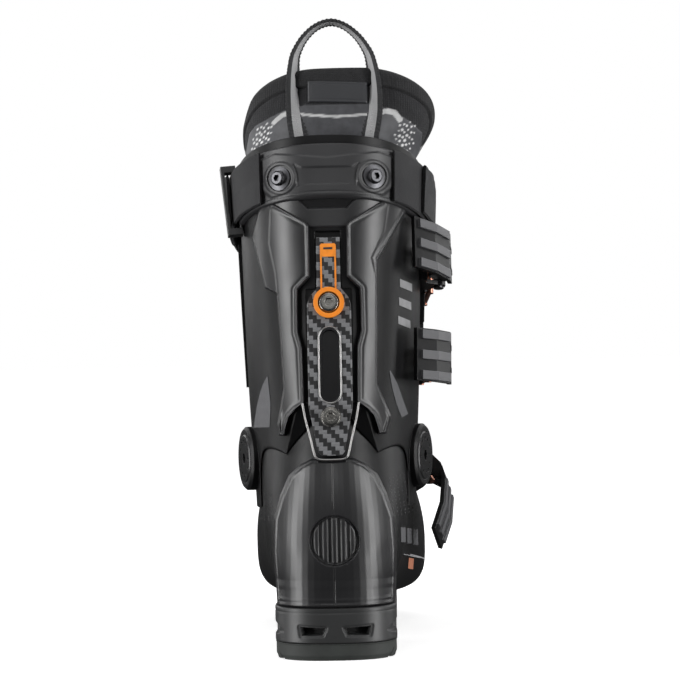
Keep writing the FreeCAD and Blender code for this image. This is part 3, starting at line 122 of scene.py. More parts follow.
def eased(rows, z):
    """Rows of a level table at every height in z, each value on a curve that never overshoots."""
    heights = rows[:, 0]
    z = np.clip(z, heights[0], heights[-1])
    i = np.clip(np.searchsorted(heights, z, side="right") - 1, 0, len(heights) - 2)
    rate = (rows[1:] - rows[:-1]) / (heights[1:] - heights[:-1])[:, None]
    slope = np.vstack([rate[:1], rate[1:] * 0, rate[-1:]])
    before, after = rate[:-1], rate[1:]
    total = np.where(before + after == 0, 1, before + after)
    slope[1:-1] = np.where(before * after <= 0, 0, 2 * before * after / total)
    span = (heights[i + 1] - heights[i])[..., None]
    t = (z[..., None] - heights[i][..., None]) / span
    start, end = rows[i], rows[i + 1]
    return (
        start
        + (end - start) * (3 - 2 * t) * t * t
        + t * (1 - t) ** 2 * span * slope[i]
        + t * t * (t - 1) * span * slope[i + 1]
    )


def rear_y(levels, x, z, lift):
    """Depth of a standing form's rear face at (x, z), the form swollen by lift."""
    row = eased(levels, z)
    half_width, reach = row[..., 3] + lift, row[..., 4] - row[..., 1] + lift
    share = np.clip(np.abs(x) / half_width, 0, 0.9995)
    return row[..., 4] - reach * (1 - share ** row[..., 5]) ** (1 / row[..., 5])


def ring_xy(levels, angle, z, lift):
    """(x, y) of a standing form at an angle round its widest line; a quarter turn is the front."""
    row = eased(levels, z)
    c, s = np.cos(angle), np.sin(angle)
    front = s > 0
    reach = np.where(front, row[..., 2] - row[..., 4], row[..., 4] - row[..., 1]) + lift
    power = np.where(front, row[..., 6], row[..., 5])
    radius = (np.abs(c / (row[..., 3] + lift)) ** power + np.abs(s / reach) ** power) ** (-1 / power)
    return radius * c, row[..., 4] + radius * s


def curve_through(rows, count):
    """A Catmull-Rom curve of count points through the rows of a table."""
    table = np.array(rows, float)
    padded = np.vstack([2 * table[0] - table[1], table, 2 * table[-1] - table[-2]])
    out = []
    for u in np.linspace(0, len(table) - 1, count):
        i = min(int(u), len(table) - 2)
        t = u - i
        a, b, c, d = padded[i : i + 4]
        square, cube = 2 * a - 5 * b + 4 * c - d, 3 * b - a - 3 * c + d
        out.append(0.5 * (2 * b + (c - a) * t + square * t**2 + cube * t**3))
    return np.array(out)


def shell_points(lift, count=240, around=160):
    """Rings of points round the lower shell, the shell swollen by lift."""
    angle = np.linspace(0, 2 * math.pi, around, endpoint=False)
    c, s = np.cos(angle), np.sin(angle)
    points = np.zeros((count, around, 3))
    for k, row in enumerate(curve_through(SHELL_STATIONS, count)):
        low_y, low_z, high_y, high_z, half_width, widest, low_power, high_power = row
        span = math.hypot(high_y - low_y, high_z - low_z)
        along = np.array([0, (high_y - low_y) / span, (high_z - low_z) / span])
        reach = np.where(s > 0, span * (1 - widest), span * widest) + lift
        power = np.where(s > 0, high_power, low_power)
        radius = (np.abs(c / (half_width + lift)) ** power + np.abs(s / reach) ** power) ** (-1 / power)
        points[k] = np.array([0, low_y, low_z]) + along * (span * widest)
        points[k] += radius[:, None] * (c[:, None] * np.array([1, 0, 0]) + s[:, None] * along)
    return points


def tube_quads(rows, columns):
    """Point numbers of a tube of rings, and the quads between neighbouring rings."""
    index = np.arange(rows * columns).reshape(rows, columns)
    turned = np.roll(index, -1, axis=1)
    return index, np.stack([index[:-1], turned[:-1], turned[1:], index[1:]], -1).reshape(-1, 4)


def tree_of(points):
    """A ray-cast tree of a tube of rings."""
    quads = tube_quads(*points.shape[:2])[1]
    return BVHTree.FromPolygons([Vector(p) for p in points.reshape(-1, 3)], quads.tolist())


SHELL_LIFTS = (-1.0, 0.0, 3.0)
shell_trees = [tree_of(shell_points(lift)) for lift in SHELL_LIFTS]


def shell_rear(x, z, lift):
    """Depth of the lower shell's rear face at (x, z), swollen by lift."""
    depths = []
    for tree in shell_trees:
        found = np.empty(x.size)
        for k, (px, pz) in enumerate(zip(x.ravel(), z.ravel())):
            hit = tree.ray_cast(Vector((px, -90.0, pz)), Vector((0, 1, 0)))[0]
            found[k] = hit.y if hit else np.nan
        depths.append(found.reshape(x.shape))
    low, middle, high = depths
    return np.where(lift < 0, middle + (middle - low) * lift, middle + (high - middle) * lift / 3.0)


def node_tree_of(*names):
    """One ray-cast tree over CAD nodes, in millimetres."""
    points, faces = [], []
    for name in names:
        mesh = nodes[name].data
        start = len(points)
        points += [v.co * 1000.0 for v in mesh.vertices]
        faces += [[start + i for i in polygon.vertices] for polygon in mesh.polygons]
    return BVHTree.FromPolygons(points, faces)


def seen_on(tree, x, z, lift):
    """Where the lines of sight through (x, z), on the upright plane at the heel's rear, meet a surface."""
    result = np.zeros((*x.shape, 3))
    eye = Vector(EYE_MM)
    for place in np.ndindex(x.shape):
        through = Vector((x[place] * math.cos(YAW), HEEL_REAR + x[place] * math.sin(YAW), z[place]))
        hit, normal, _, _ = tree.ray_cast(eye, through - eye)
        if hit is None:
            hit, normal = tree.find_nearest(eye + (through - eye) * 1.05)[:2]
        if normal.dot(through - eye) > 0:
            normal = -normal
        result[place] = hit + normal * lift
    return result


# ------------------------------------------------------------------ outlines and relief


def edge_distance(x, z, corners, closed=True):
    """Distance of each point to the nearest side of an outline."""
    corners = np.array(corners, float)
    ends = np.roll(corners, -1, axis=0) if closed else corners[1:]
    starts = corners if closed else corners[:-1]
    nearest = np.full(x.shape, 1e9)
    for (ax, az), (bx, bz) in zip(starts, ends):
        dx, dz = bx - ax, bz - az
        length = dx * dx + dz * dz + 1e-12
        t = np.clip(((x - ax) * dx + (z - az) * dz) / length, 0, 1)
        nearest = np.minimum(nearest, np.hypot(x - ax - t * dx, z - az - t * dz))
    return nearest


def inside(x, z, corners):
    """Whether each point lies inside an outline."""
    result = np.zeros(x.shape, bool)
    previous = corners[-1]
    for corner in corners:
        (ax, az), (bx, bz) = previous, corner
        crosses = (az > z) != (bz > z)
        at = (bx - ax) * (z - az) / (bz - az if bz != az else 1e-9) + ax
        result ^= crosses & (x < at)
        previous = corner
    return result


def signed(x, z, corners):
    """Distance to an outline, positive inside it."""
    distance = edge_distance(x, z, corners)
    return np.where(inside(x, z, corners), distance, -distance)


def ramp(value, low, high):
    """A smooth step from 0 at low to 1 at high."""
    t = np.clip((value - low) / (high - low), 0, 1)
    return t * t * (3 - 2 * t)


def rounded_edge(distance, radius):
    """A quarter-round step: 0 at the edge, 1 from radius inwards."""
    t = np.clip(distance / radius, 0, 1)
    return np.sqrt(np.clip(1 - (1 - t) ** 2, 0, 1))


def bump(value, width):
    """A bell round zero."""
    return np.exp(-((value / width) ** 2))


# ------------------------------------------------------------------ mesh pieces


def make_piece(name, points, faces, body, material, replaced=(), crease=40.0, masks=None):
    """A mesh object in metres from points in millimetres, riding on a body of the frame."""
    mesh = bpy.data.meshes.new(name)
    mesh.from_pydata((points * MM).tolist(), [], faces_outwards(points, faces))
    mesh.update()
    piece = bpy.data.objects.new(name, mesh)
    bpy.context.scene.collection.objects.link(piece)
    for key, values in (masks or {}).items():
        attribute = mesh.attributes.new(key, "FLOAT", "POINT")
        attribute.data.foreach_set("value", np.asarray(values, np.float32).ravel())
    shade(mesh, crease)
    mesh.materials.append(material)
    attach(piece, body)
    if replaced:
        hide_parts(*replaced)
    return piece


def shade(mesh, crease):
    """Smooth shading, sharp where faces meet at more than crease degrees."""
    mesh.shade_smooth()
    mesh.set_sharp_from_angle(angle=math.radians(crease))


def faces_outwards(points, faces):
    """The faces as lists, all reversed if the quads among them enclose a negative volume."""
    faces = [list(face) for face in faces]
    corners = points[np.array([face for face in faces if len(face) == 4])] - points.mean(0)
    a, b, c, d = (corners[:, k] for k in range(4))
    volume = np.sum(np.einsum("ij,ij->i", a, np.cross(b, c)) + np.einsum("ij,ij->i", a, np.cross(c, d)))
    return [face[::-1] for face in faces] if volume < 0 else faces


def closed_sheet(name, outer, inner, body, material, masks=None, **options):
    """A closed solid between two grids of points, joined along their four edges."""
    rows, columns = outer.shape[:2]
    index = np.arange(rows * columns).reshape(rows, columns)
    back = index + rows * columns
    here, across = index[:, :-1], index[:, 1:]
    back_here, back_across = back[:, :-1], back[:, 1:]
    faces = [
        np.stack([here[:-1], across[:-1], across[1:], here[1:]], -1).reshape(-1, 4),
        np.stack([back_here[:-1], back_here[1:], back_across[1:], back_across[:-1]], -1).reshape(-1, 4),
        np.stack([here[0], back_here[0], back_across[0], across[0]], -1),
        np.stack([here[-1], across[-1], back_across[-1], back_here[-1]], -1),
        np.stack([index[:-1, 0], index[1:, 0], back[1:, 0], back[:-1, 0]], -1),
        np.stack([index[:-1, -1], back[:-1, -1], back[1:, -1], index[1:, -1]], -1),
    ]
    points = np.concatenate([outer.reshape(-1, 3), inner.reshape(-1, 3)])
    doubled = {key: np.concatenate([np.ravel(v), np.ravel(v)]) for key, v in (masks or {}).items()}
    return make_piece(name, points, np.vstack(faces).tolist(), body, material, masks=doubled, **options)


def skins(x, y, back, z):
    """Outer and inner grid of points of a sheet seen from the rear."""
    return np.stack([x, y, z], -1), np.stack([x, back, z], -1)


def at(corners, z):
    """Interpolates the first value of (value, z) pairs over z."""
    table = sorted((pair[1], pair[0]) for pair in corners)
    return np.interp(z, [t[0] for t in table], [t[1] for t in table])


# ------------------------------------------------------------------ materials


class Look:
    """A node material: a principled shader with helpers for procedural colour, roughness and bump."""

    def __init__(self, name, colour, roughness, metallic=0.0, coat=0.0, sheen=0.0, specular=0.5):
        self.material = bpy.data.materials.new(name)
        self.material.use_nodes = True
        self.tree = self.material.node_tree
        self.shader = self.tree.nodes["Principled BSDF"]
        settings = {
            "Base Color": (*colour, 1),
            "Roughness": roughness,
            "Metallic": metallic,
            "Coat Weight": coat,
            "Coat Roughness": 0.25,
            "Sheen Weight": sheen,
            "Specular IOR Level": specular,
        }
        self.feed(self.shader, settings)
        self.colour = self.value_node(colour)
        self.height = None
        self.where = self.node("ShaderNodeTexCoord").outputs["Object"]

    def feed(self, node, inputs):
        """Sets inputs to values, or links sockets to them."""
        for key, value in inputs.items():
            if isinstance(value, bpy.types.NodeSocket):
                self.tree.links.new(value, node.inputs[key])
            elif value is not None:
                node.inputs[key].default_value = value

    def node(self, kind, inputs=None, **settings):
        """A new node with its settings and inputs."""
        made = self.tree.nodes.new(kind)
        for key, value in settings.items():
            setattr(made, key, value)
        self.feed(made, inputs or {})
        return made

    def value_node(self, colour):
        """The socket of a plain colour."""
        made = self.node("ShaderNodeRGB")
        made.outputs[0].default_value = (*colour, 1)
        return made.outputs[0]

    def math(self, operation, first, second=None, clamp=False):
        """The result of one sum on values or sockets."""
        inputs = {0: first, 1: second}
        return self.node("ShaderNodeMath", inputs, operation=operation, use_clamp=clamp).outputs[0]

    def spread(self, value, low, high, start=0.0, end=1.0, **settings):
        """Carries a value from start..end over to low..high."""
        inputs = {"Value": value, "From Min": start, "From Max": end, "To Min": low, "To Max": high}
        return self.node("ShaderNodeMapRange", inputs, **settings).outputs[0]

    def mask(self, name):
        """A value stored on the mesh's points."""
        return self.node("ShaderNodeAttribute", attribute_name=name).outputs["Fac"]

    def noise(self, scale, detail=3.0, stretch=(1, 1, 1)):
        """Clouds about 0.5, squeezed along each axis by stretch."""
        mapping = self.node("ShaderNodeMapping", {"Scale": stretch, "Vector": self.where})
        inputs = {"Scale": scale, "Detail": detail, "Roughness": 0.55, "Vector": mapping.outputs[0]}
        return self.node("ShaderNodeTexNoise", inputs).outputs["Fac"]

    def cells(self, scale, randomness):
        """Distance to the middle of the nearest of many small cells."""
        inputs = {"Scale": scale, "Randomness": randomness, "Vector": self.where}
        return self.node("ShaderNodeTexVoronoi", inputs, feature="F1").outputs["Distance"]

    def paint(self, factor, colour):
        """Mixes a colour in where factor is 1."""
        inputs = {"Factor": factor, 6: self.colour, 7: self.value_node(colour)}
        self.colour = self.node("ShaderNodeMix", inputs, data_type="RGBA").outputs[2]

    def vary(self, scale, amount, **options):
        """Darkens and lightens the colour in soft clouds."""
        share = self.spread(self.noise(scale, **options), 1 - amount, 1 + amount, 0.3, 0.7)
        inputs = {0: self.colour, "Scale": share}
        self.colour = self.node("ShaderNodeVectorMath", inputs, operation="SCALE").outputs[0]

    def set(self, socket, low, high, factor):
        """Drives a shader input from low to high."""
        self.feed(self.shader, {socket: self.spread(factor, low, high)})

    def relief(self, height, strength, distance):
        """Adds a bump layer; distance is in metres."""
        inputs = {"Strength": strength, "Distance": distance, "Height": height, "Normal": self.height}
        self.height = self.node("ShaderNodeBump", inputs).outputs[0]

    def painted_edge_highlight(self, colour, strength, radius=0.0006):
        """Paints a highlight on convex edges: a lighter colour where the bevelled normal turns away from the
        face's.
        """
        bevel = self.node("ShaderNodeBevel", {"Radius": radius}, samples=4).outputs[0]
        normal = self.node("ShaderNodeNewGeometry").outputs["Normal"]
        likeness = self.node("ShaderNodeVectorMath", {0: bevel, 1: normal}, operation="DOT_PRODUCT")
        self.paint(self.spread(likeness.outputs["Value"], 0.0, strength, 0.995, 0.9), colour)

    def soft_edges(self, radius):
        """Rounds hard edges in the shading."""
        bevel = self.node("ShaderNodeBevel", {"Radius": radius, "Normal": self.height}, samples=4)
        self.height = bevel.outputs[0]

    def done(self):
        """Links colour and relief up, and gives the material."""
        self.feed(self.shader, {"Base Color": self.colour, "Normal": self.height})
        return self.material


def moulded(name, colour, roughness, grain=0.25, edges=True, edge_radius=0.0007, specular=0.5):
    """Injection-moulded plastic: fine spark-eroded grain, faint flow clouds, a painted highlight on its
    edges.
    """
    look = Look(name, colour, roughness, specular=specular)
    look.vary(26.0, 0.10, detail=4.0)
    if edges:
        look.soft_edges(edge_radius)
        # painted highlight: convex edges get a lighter copy of the colour
        look.painted_edge_highlight(tuple(min(1, c * 2.2 + 0.03) for c in colour), 0.35)
    look.set("Roughness", roughness - 0.06, roughness + 0.08, look.noise(60.0, detail=5.0))
    look.relief(look.noise(2600.0, detail=2.0), grain, 0.00008)
    look.relief(look.noise(240.0, detail=3.0), 0.05, 0.0003)
    return look.done()


def brushed_metal(name, colour, roughness):
    """Metal brushed along its height."""
    look = Look(name, colour, roughness, metallic=1.0)
    stretch = (1, 1, 12)
    look.vary(220.0, 0.12, detail=3.0)
    look.set("Roughness", roughness - 0.05, roughness + 0.1, look.noise(500.0, stretch=stretch))
    look.relief(look.noise(1400.0, stretch=stretch), 0.04, 0.00003)
    look.soft_edges(0.0003)
    return look.done()


def carbon_weave():
    """Two-by-two twill of flat tows under a thin clear coat; the weft tows carry a painted reflection."""
    look = Look("carbon_twill", (0.012, 0.012, 0.013), 0.36, coat=0.2, specular=0.4)
    tow = 0.00235
    split = look.node("ShaderNodeSeparateXYZ", {0: look.where})
    u, v = (look.math("DIVIDE", split.outputs[axis], tow) for axis in "XZ")
    step = look.math("ADD", look.math("FLOOR", u), look.math("FLOOR", v))
    weft = look.math("LESS_THAN", look.math("MODULO", look.math("ADD", step, 400.0), 4.0), 2.0)

    def rounded(value):
        """The crown of a tow across its width."""
        off = look.math("SUBTRACT", look.math("FRACT", value), 0.5)
        return look.math("SUBTRACT", 1.0, look.math("MULTIPLY", look.math("MULTIPLY", off, off), 4.0))

    tows = look.node("ShaderNodeMix", {0: weft, 2: rounded(u), 3: rounded(v)}, data_type="FLOAT")
    # painted reflection: the weft tows get a lighter colour for the sheen along their fibres; warp and weft
    # are the same black fibre
    look.paint(weft, (0.16, 0.162, 0.168))
    fibres = look.noise(900.0, stretch=(1, 1, 8))
    look.vary(1500.0, 0.35, stretch=(1, 1, 6))
    look.set("Roughness", 0.42, 0.6, fibres)
    look.relief(tows.outputs[0], 0.5, 0.0003)
    look.relief(fibres, 0.15, 0.0001)
    return look.done()


CUFF_BLACK = moulded("cuff_black_plastic", (0.004, 0.004, 0.0044), 0.42, specular=0.22)
SHELL_BLACK = moulded("shell_black_plastic", (0.004, 0.004, 0.0044), 0.38, specular=0.28)
PANEL_GREY = moulded("panel_grey_plastic", (0.014, 0.014, 0.015), 0.34, grain=0.15, specular=0.55)
YOKE_GREY = moulded("yoke_grey_plastic", (0.024, 0.024, 0.0255), 0.42, grain=0.3, specular=0.5)
SOLE_GREY = moulded("sole_grey_plastic", (0.026, 0.0265, 0.027), 0.42, grain=0.3)
BUCKLE_BLACK = moulded("buckle_black", (0.006, 0.006, 0.0065), 0.3, edge_radius=0.0005, specular=0.4)
BAR_GREY = moulded("buckle_bar_grey", (0.085, 0.085, 0.09), 0.42)
CARBON = carbon_weave()
STEEL = brushed_metal("steel_brushed", (0.36, 0.355, 0.35), 0.3)
BRONZE = brushed_metal("bronze_dark", (0.42, 0.41, 0.385), 0.22)
COPPER = brushed_metal("copper_bright", (0.62, 0.30, 0.22), 0.28)
GUNMETAL = brushed_metal("gunmetal", (0.075, 0.075, 0.08), 0.33)
TRACK_BLACK = moulded("track_black", (0.006, 0.006, 0.007), 0.28, edges=False)
ORANGE = moulded("orange_anodised", (0.78, 0.22, 0.012), 0.36, grain=0.15)


def rubber_look():
    """Matt sole rubber."""
    look = Look("sole_rubber", (0.022, 0.025, 0.023), 0.7)
    look.vary(90.0, 0.2)
    look.relief(look.noise(1800.0, detail=4.0), 0.5, 0.00015)
    look.soft_edges(0.0006)
    return look.done()


RUBBER = rubber_look()


def fabric_look(name, colour, pitch, sheen=0.08):
    """A fine mesh knit: rows of small cells with fuzz."""
    look = Look(name, colour, 0.9, sheen=sheen)
    cells = look.cells(1 / pitch, 0.25)
    look.paint(look.math("MULTIPLY", cells, 0.9, clamp=True), tuple(c * 0.25 for c in colour))
    look.vary(70.0, 0.25)
    look.relief(look.math("SUBTRACT", 1.0, cells), 0.7, 0.0006)
    look.relief(look.noise(2200.0, detail=4.0), 0.35, 0.0003)
    return look.done()


FLEECE = fabric_look("liner_fleece", (0.16, 0.155, 0.15), 0.0011, sheen=0.3)
FOAM_KNIT = fabric_look("tongue_fabric", (0.022, 0.022, 0.024), 0.0014)


def webbing_look(name, colour, stripe=None, edge=(0.012, 0.012, 0.013)):
    """Woven tape: diagonal ribs read from the piece's own across and along values."""
    look = Look(name, colour, 0.7, sheen=0.06, specular=0.35)
    across, along = look.mask("across"), look.mask("along")
    lean = look.math("MULTIPLY", look.math("ABSOLUTE", across), 1.4)
    rib = look.math("SINE", look.math("MULTIPLY", look.math("ADD", along, lean), 2 * math.pi / 1.25))
    thread = look.math("SINE", look.math("MULTIPLY", across, 2 * math.pi / 0.8))
    look.paint(look.math("MULTIPLY", look.math("ADD", rib, 1.0), 0.28), edge)
    if stripe:
        band = look.math("LESS_THAN", look.math("ABSOLUTE", across), stripe[1])
        look.paint(band, stripe[0])
        look.set("Roughness", 0.78, 0.42, band)
    look.relief(rib, 0.6, 0.0003)
    look.relief(thread, 0.35, 0.00015)
    look.relief(look.noise(2400.0, detail=4.0), 0.3, 0.0002)
    return look.done()


STRAP_WEB = webbing_look("strap_webbing", (0.020, 0.020, 0.022))
LOOP_WEB = webbing_look("loop_webbing", (0.030, 0.030, 0.032), stripe=((0.34, 0.34, 0.345), 2.6))

# ------------------------------------------------------------------ CAD nodes that are shown as they are

BUCKLES = ("upper", "lower", "instep")
SHOWN = {
    CUFF_BLACK: ["cuff", "cuff_front_flap"],
    SHELL_BLACK: ["lower_shell", "instep_flap"],
    SOLE_GREY: ["heel_sole_block", "toe_sole_block", "boot_board", "power_strap_loop"],
    RUBBER: ["heel_tread", "toe_tread"],
    CARBON: ["spine_plate"],
    ORANGE: ["spine_ring"],
    STEEL: ["sole_screws", "lateral_pivot_bolt", "medial_pivot_bolt", "shell_rivets", "cuff_rivets"],
    BRONZE: ["spine_upper_screw", "spine_lower_screw"],
    GUNMETAL: [
        "strap_bolts",
        "lateral_pivot_washer",
        "medial_pivot_washer",
        *(f"{level}_buckle_{part}" for level in BUCKLES for part in ("pins", "lug")),
    ],
    COPPER: [f"{level}_buckle_bail" for level in BUCKLES],
    BUCKLE_BLACK: [
        *(f"{level}_buckle_{part}" for level in BUCKLES for part in ("base", "ladder", "lever")),
        "lateral_cant_disc",
        "medial_cant_disc",
    ],
    TRACK_BLACK: ["spine_slot_liner"],
    FLEECE: ["liner_foot", "footbed"],
}
for look, names in SHOWN.items():
    for name in names:
        mesh = nodes[name].data
        mesh.materials.clear()
        mesh.materials.append(look)
        shade(mesh, 32.0)

# ------------------------------------------------------------------ rear of the cuff: raised panels

# Half outline of the medial and lateral lobes as seen from the rear, (distance from the centre line, z).
INNER_EDGE = [
    (31.0, 263.0), (12.2, 251.6), (10.6, 249.5), (10.4, 219.5), (17.6, 212.0), (17.8, 188.0), (15.4, 179.0),
    (14.6, 147.0), (19.5, 143.5), (23.6, 139.0), (25.6, 133.0), (26.8, 128.0),
]
OUTER_EDGE = {
    -1: [
        (40.0, 263.0), (46.0, 246.0), (38.0, 214.0), (30.6, 210.0), (29.2, 185.0), (27.8, 155.0),
        (31.8, 135.0), (31.0, 128.0),
    ],
    1: [
        (46.0, 263.0), (45.6, 257.0), (28.6, 228.0), (27.8, 186.0), (27.2, 157.0), (34.6, 138.0),
        (31.6, 128.0),
    ],
}
# A sunk facet on each lobe: depth and outline.
FACETS = {
    -1: (0.7, [(-41, 264), (-47, 246), (-38.5, 213), (-30, 209), (-31, 222), (-34.5, 240), (-33, 264)]),
    1: (0.5, [(47, 264), (28, 230), (27, 222), (25, 230), (33, 246), (36, 264)]),
}
LOBE_LIFT = 2.5
BURIED = -0.8  # lift of a panel's hidden back, inside the cuff


def lobe(side):
    """A raised panel beside the plate: stepped rims, a facet and a thickened tip."""
    share, z = np.meshgrid(np.linspace(0, 1, 74), np.linspace(263.0, 128.0, 290))
    inner, outer = at(INNER_EDGE, z), at(OUTER_EDGE[side], z)
    x = side * (inner + (outer - inner) * share)
    outline = [(side * px, pz) for px, pz in INNER_EDGE + OUTER_EDGE[side][::-1]]
    rim = edge_distance(x, z, outline)
    inner_rim = edge_distance(x, z, [(side * px, pz) for px, pz in INNER_EDGE], closed=False)
    lift = -0.6 + (LOBE_LIFT + 0.6) * rounded_edge(rim, 1.5)
    lift += 0.45 * bump(inner_rim - 1.3, 0.7) - 0.25 * bump(inner_rim - 3.0, 1.0)
    depth, facet = FACETS[side]
    lift -= depth * ramp(signed(x, z, facet), -0.8, 0.8)
    tip = ramp(148 - z, 0, 18)
    lift += 1.1 * tip * bump(rim - 1.2, 0.9)
    y = rear_y(CUFF_LEVELS, x, z, lift)
    back = rear_y(CUFF_LEVELS, x, z, np.full(x.shape, BURIED))
    return skins(x, y, back, z)


def bib():
    """The field between the lobes, under the strap's yoke."""
    share, z = np.meshgrid(np.linspace(-1, 1, 150), np.linspace(264.0, 246.6, 60))
    x = (at([(33.0, 264.0), (12.6, 251.6), (11.0, 249.5), (10.8, 246.0)], z) + 1.2) * share
    foot = ramp(z - 247.2, 0, 1.6)
    lift = -0.5 + 1.7 * foot
    notch = [(-18, 266), (18, 266), (11.5, 259.2), (-11.5, 259.2)]
    lift -= 1.3 * ramp(signed(x, z, notch), -0.5, 0.5)
    y = rear_y(CUFF_LEVELS, x, z, lift)
    back = rear_y(CUFF_LEVELS, x, z, np.full(x.shape, BURIED))
    return skins(x, y, back, z)


closed_sheet("cuff_panel_medial", *lobe(-1), "cuff", PANEL_GREY, replaced=["cuff_back_panel"])
closed_sheet("cuff_panel_lateral", *lobe(1), "cuff", PANEL_GREY)
closed_sheet("cuff_panel_bib", *bib(), "cuff", PANEL_GREY)

# ------------------------------------------------------------------ heel panel

HEEL_EDGE = [
    (11.6, 115.4), (18.6, 112.0), (25.8, 105.5), (31.0, 94.0), (35.0, 80.5), (36.0, 62.0), (35.4, 45.0),
    (34.4, 30.2),
]
HEEL_MIDDLE_X = 0.3  # the seam stands a little off the centre line
RECESS = (0.8, 68.6, 14.4)  # x, z and radius
STEEP_BELOW = 46.0  # height under which the cap drops straight instead of following the shell's curl


def heel_panel():
    """The heel cap: rolled rim, seam, notch under the plate, bed at its foot and round ribbed recess."""
    share, z = np.meshgrid(np.linspace(-1, 1, 190), np.linspace(115.4, 30.2, 186))
    x = at(HEEL_EDGE, z) * share + HEEL_MIDDLE_X
    outline = [(HEEL_MIDDLE_X + px, pz) for px, pz in HEEL_EDGE]
    outline += [(HEEL_MIDDLE_X - px, pz) for px, pz in HEEL_EDGE[::-1]]
    rim = edge_distance(x, z, outline)
    lift = -0.8 + 3.4 * rounded_edge(rim, 1.8)
    lift += 0.5 * bump(rim - 1.6, 0.8)
    lift -= 0.55 * bump(x - HEEL_MIDDLE_X, 0.28) * ramp(rim, 1.0, 3.0)
    notch = [(-8.8, 118), (8.8, 118), (7.6, 113.2), (-7.6, 113.2)]
    lift -= 3.2 * ramp(signed(x, z, notch), -0.6, 0.6)
    bed = ramp(41.5 - z, -1.2, 1.8)
    lift -= 0.25 * bed * ramp(rim, 0.5, 2.0)
    lift += 0.27 * bump(z - 34.6, 0.8) * ramp(rim, 0.3, 1.0)
    cx, cz, radius = RECESS
    out = radius - np.hypot(x - cx, z - cz)
    sunk = ramp(out, -0.15, 0.45)
    ribs = 0.9 * ramp(np.cos((x - cx) * 2 * math.pi / 5.2), -0.25, 0.25) * ramp(out, 1.4, 1.9)
    floor = 0.35 + ribs + 0.8 * bump(out - 0.9, 0.35)
    lift = lift * (1 - sunk) + floor * sunk
    steep = np.maximum(z, STEEP_BELOW)
    y = shell_rear(x, steep, lift) + (steep - z) * 0.06
    back = shell_rear(x, steep, np.full(x.shape, -1.0)) + (steep - z) * 0.06
    return skins(x, y, back, z)


closed_sheet("heel_cap_panel", *heel_panel(), "lower_shell", PANEL_GREY, replaced=["heel_panel"])

# ------------------------------------------------------------------ strap: moulded yoke, webbing, tail

STRAP_DROP, STRAP_TALL = 5.5, 33.0
BOLTS = [(-27.0, 277.0), (27.0, 277.0)]


def yoke_points(x, share, lift):
    """Rear points of the yoke's tilted band: share runs from its upper edge to its lower one."""
    z = np.full(x.shape, 280.0)
    for _ in range(8):
        y = rear_y(CUFF_LEVELS, x, z, lift)
        z = rim_z(y, STRAP_DROP + STRAP_TALL * share)
    return np.stack([x, y, z], -1)


def yoke():
    """The moulded yoke: edge bead, pad, window, rings round the bolts and a row of stitches."""
    angle, share = np.meshgrid(np.linspace(-1, 1, 300), np.linspace(0, 1, 120))
    x = 53.5 * np.sin(angle * math.pi / 2 * 0.97)
    plain = yoke_points(x, share, np.full(x.shape, 3.2))
    u, w = plain[..., 0], plain[..., 2]
    edge = np.minimum(share, 1 - share) * STRAP_TALL
    lift = 0.2 + 2.8 * rounded_edge(edge, 1.4)
    pad_outline = [
        (-42, 282), (-38.5, 289), (-30, 291.6), (0, 288.6), (30, 291.6), (38.5, 289), (42, 282), (40, 272),
        (33, 266.6), (0, 266), (-33, 266.6), (-40, 272),
    ]
    lift += 0.9 * ramp(signed(u, w, pad_outline), -0.7, 1.0)
    window = [
        (-19, 285), (-14.5, 283), (14.5, 283), (19, 285), (17, 271.6), (13.5, 273), (-13.5, 273),
        (-17, 271.6),
    ]
    lift -= 0.8 * ramp(signed(u, w, window), -0.4, 0.5)
    for bx, bz in BOLTS:
        far = np.hypot(u - bx, w - bz)
        lift += 0.7 * ramp(9.4 - far, -0.5, 0.5) - 0.9 * ramp(7.6 - far, -0.3, 0.4)
    lift += 0.18 * ramp(np.cos(u * 2 * math.pi / 1.5), -0.2, 0.4) * bump(edge - 2.2, 0.5) * (share > 0.5)
    lift -= 0.3 * bump(edge - 3.3, 0.35) * (share > 0.5)
    return yoke_points(x, share, lift), yoke_points(x, share, np.full(x.shape, 0.1))


closed_sheet("strap_yoke_moulded", *yoke(), "cuff", YOKE_GREY, replaced=["power_strap_yoke"])


def band_grid(first, last, rows, columns):
    """Angle round the cuff, given in degrees, and share across a band."""
    angle = np.linspace(math.radians(first), math.radians(last), columns)
    return np.meshgrid(angle, np.linspace(0, 1, rows))


def lay_band(name, share, angle, drop, tall, outer_lift, inner_lift, replaced=()):
    """Webbing laid round the tilted top of the cuff, drop below its rim."""

    def lay(lift):
        """Points of the band at a lift off the cuff."""
        z = np.full(angle.shape, 255.0)
        for _ in range(12):
            x, y = ring_xy(CUFF_LEVELS, angle, z, lift)
            z = rim_z(y, drop + tall * share)
        return np.stack([x, y, z], -1)

    outer = lay(outer_lift)
    gap = np.linalg.norm(np.diff(outer[len(outer) // 2], axis=0), axis=1)
    along = np.repeat(np.concatenate([[0], np.cumsum(gap)])[None, :], len(outer), 0)
    masks = {"across": (share - 0.5) * tall, "along": along}
    closed_sheet(name, outer, lay(inner_lift), "cuff", STRAP_WEB, replaced=replaced, masks=masks)


def strap_band(name, angles, low, high, drop, tall, waves, columns, seed, replaced):
    """A webbing band between two lifts off the cuff, with soft waves in the cloth."""
    angle, share = band_grid(*angles, 46, columns)
    wave = waves * (np.sin(angle * 9 + seed) + 0.6 * np.sin(angle * 17 + share * 4 + seed * 3)) * 0.5
    edge = rounded_edge(np.minimum(share, 1 - share) * tall, 0.9)
    middle = (low + high) / 2
    outer_lift = middle + (high - middle) * edge + np.abs(wave)
    inner_lift = middle - (middle - low) * edge + np.abs(wave) * 0.6
    lay_band(name, share, angle, drop, tall, outer_lift, inner_lift, [replaced])


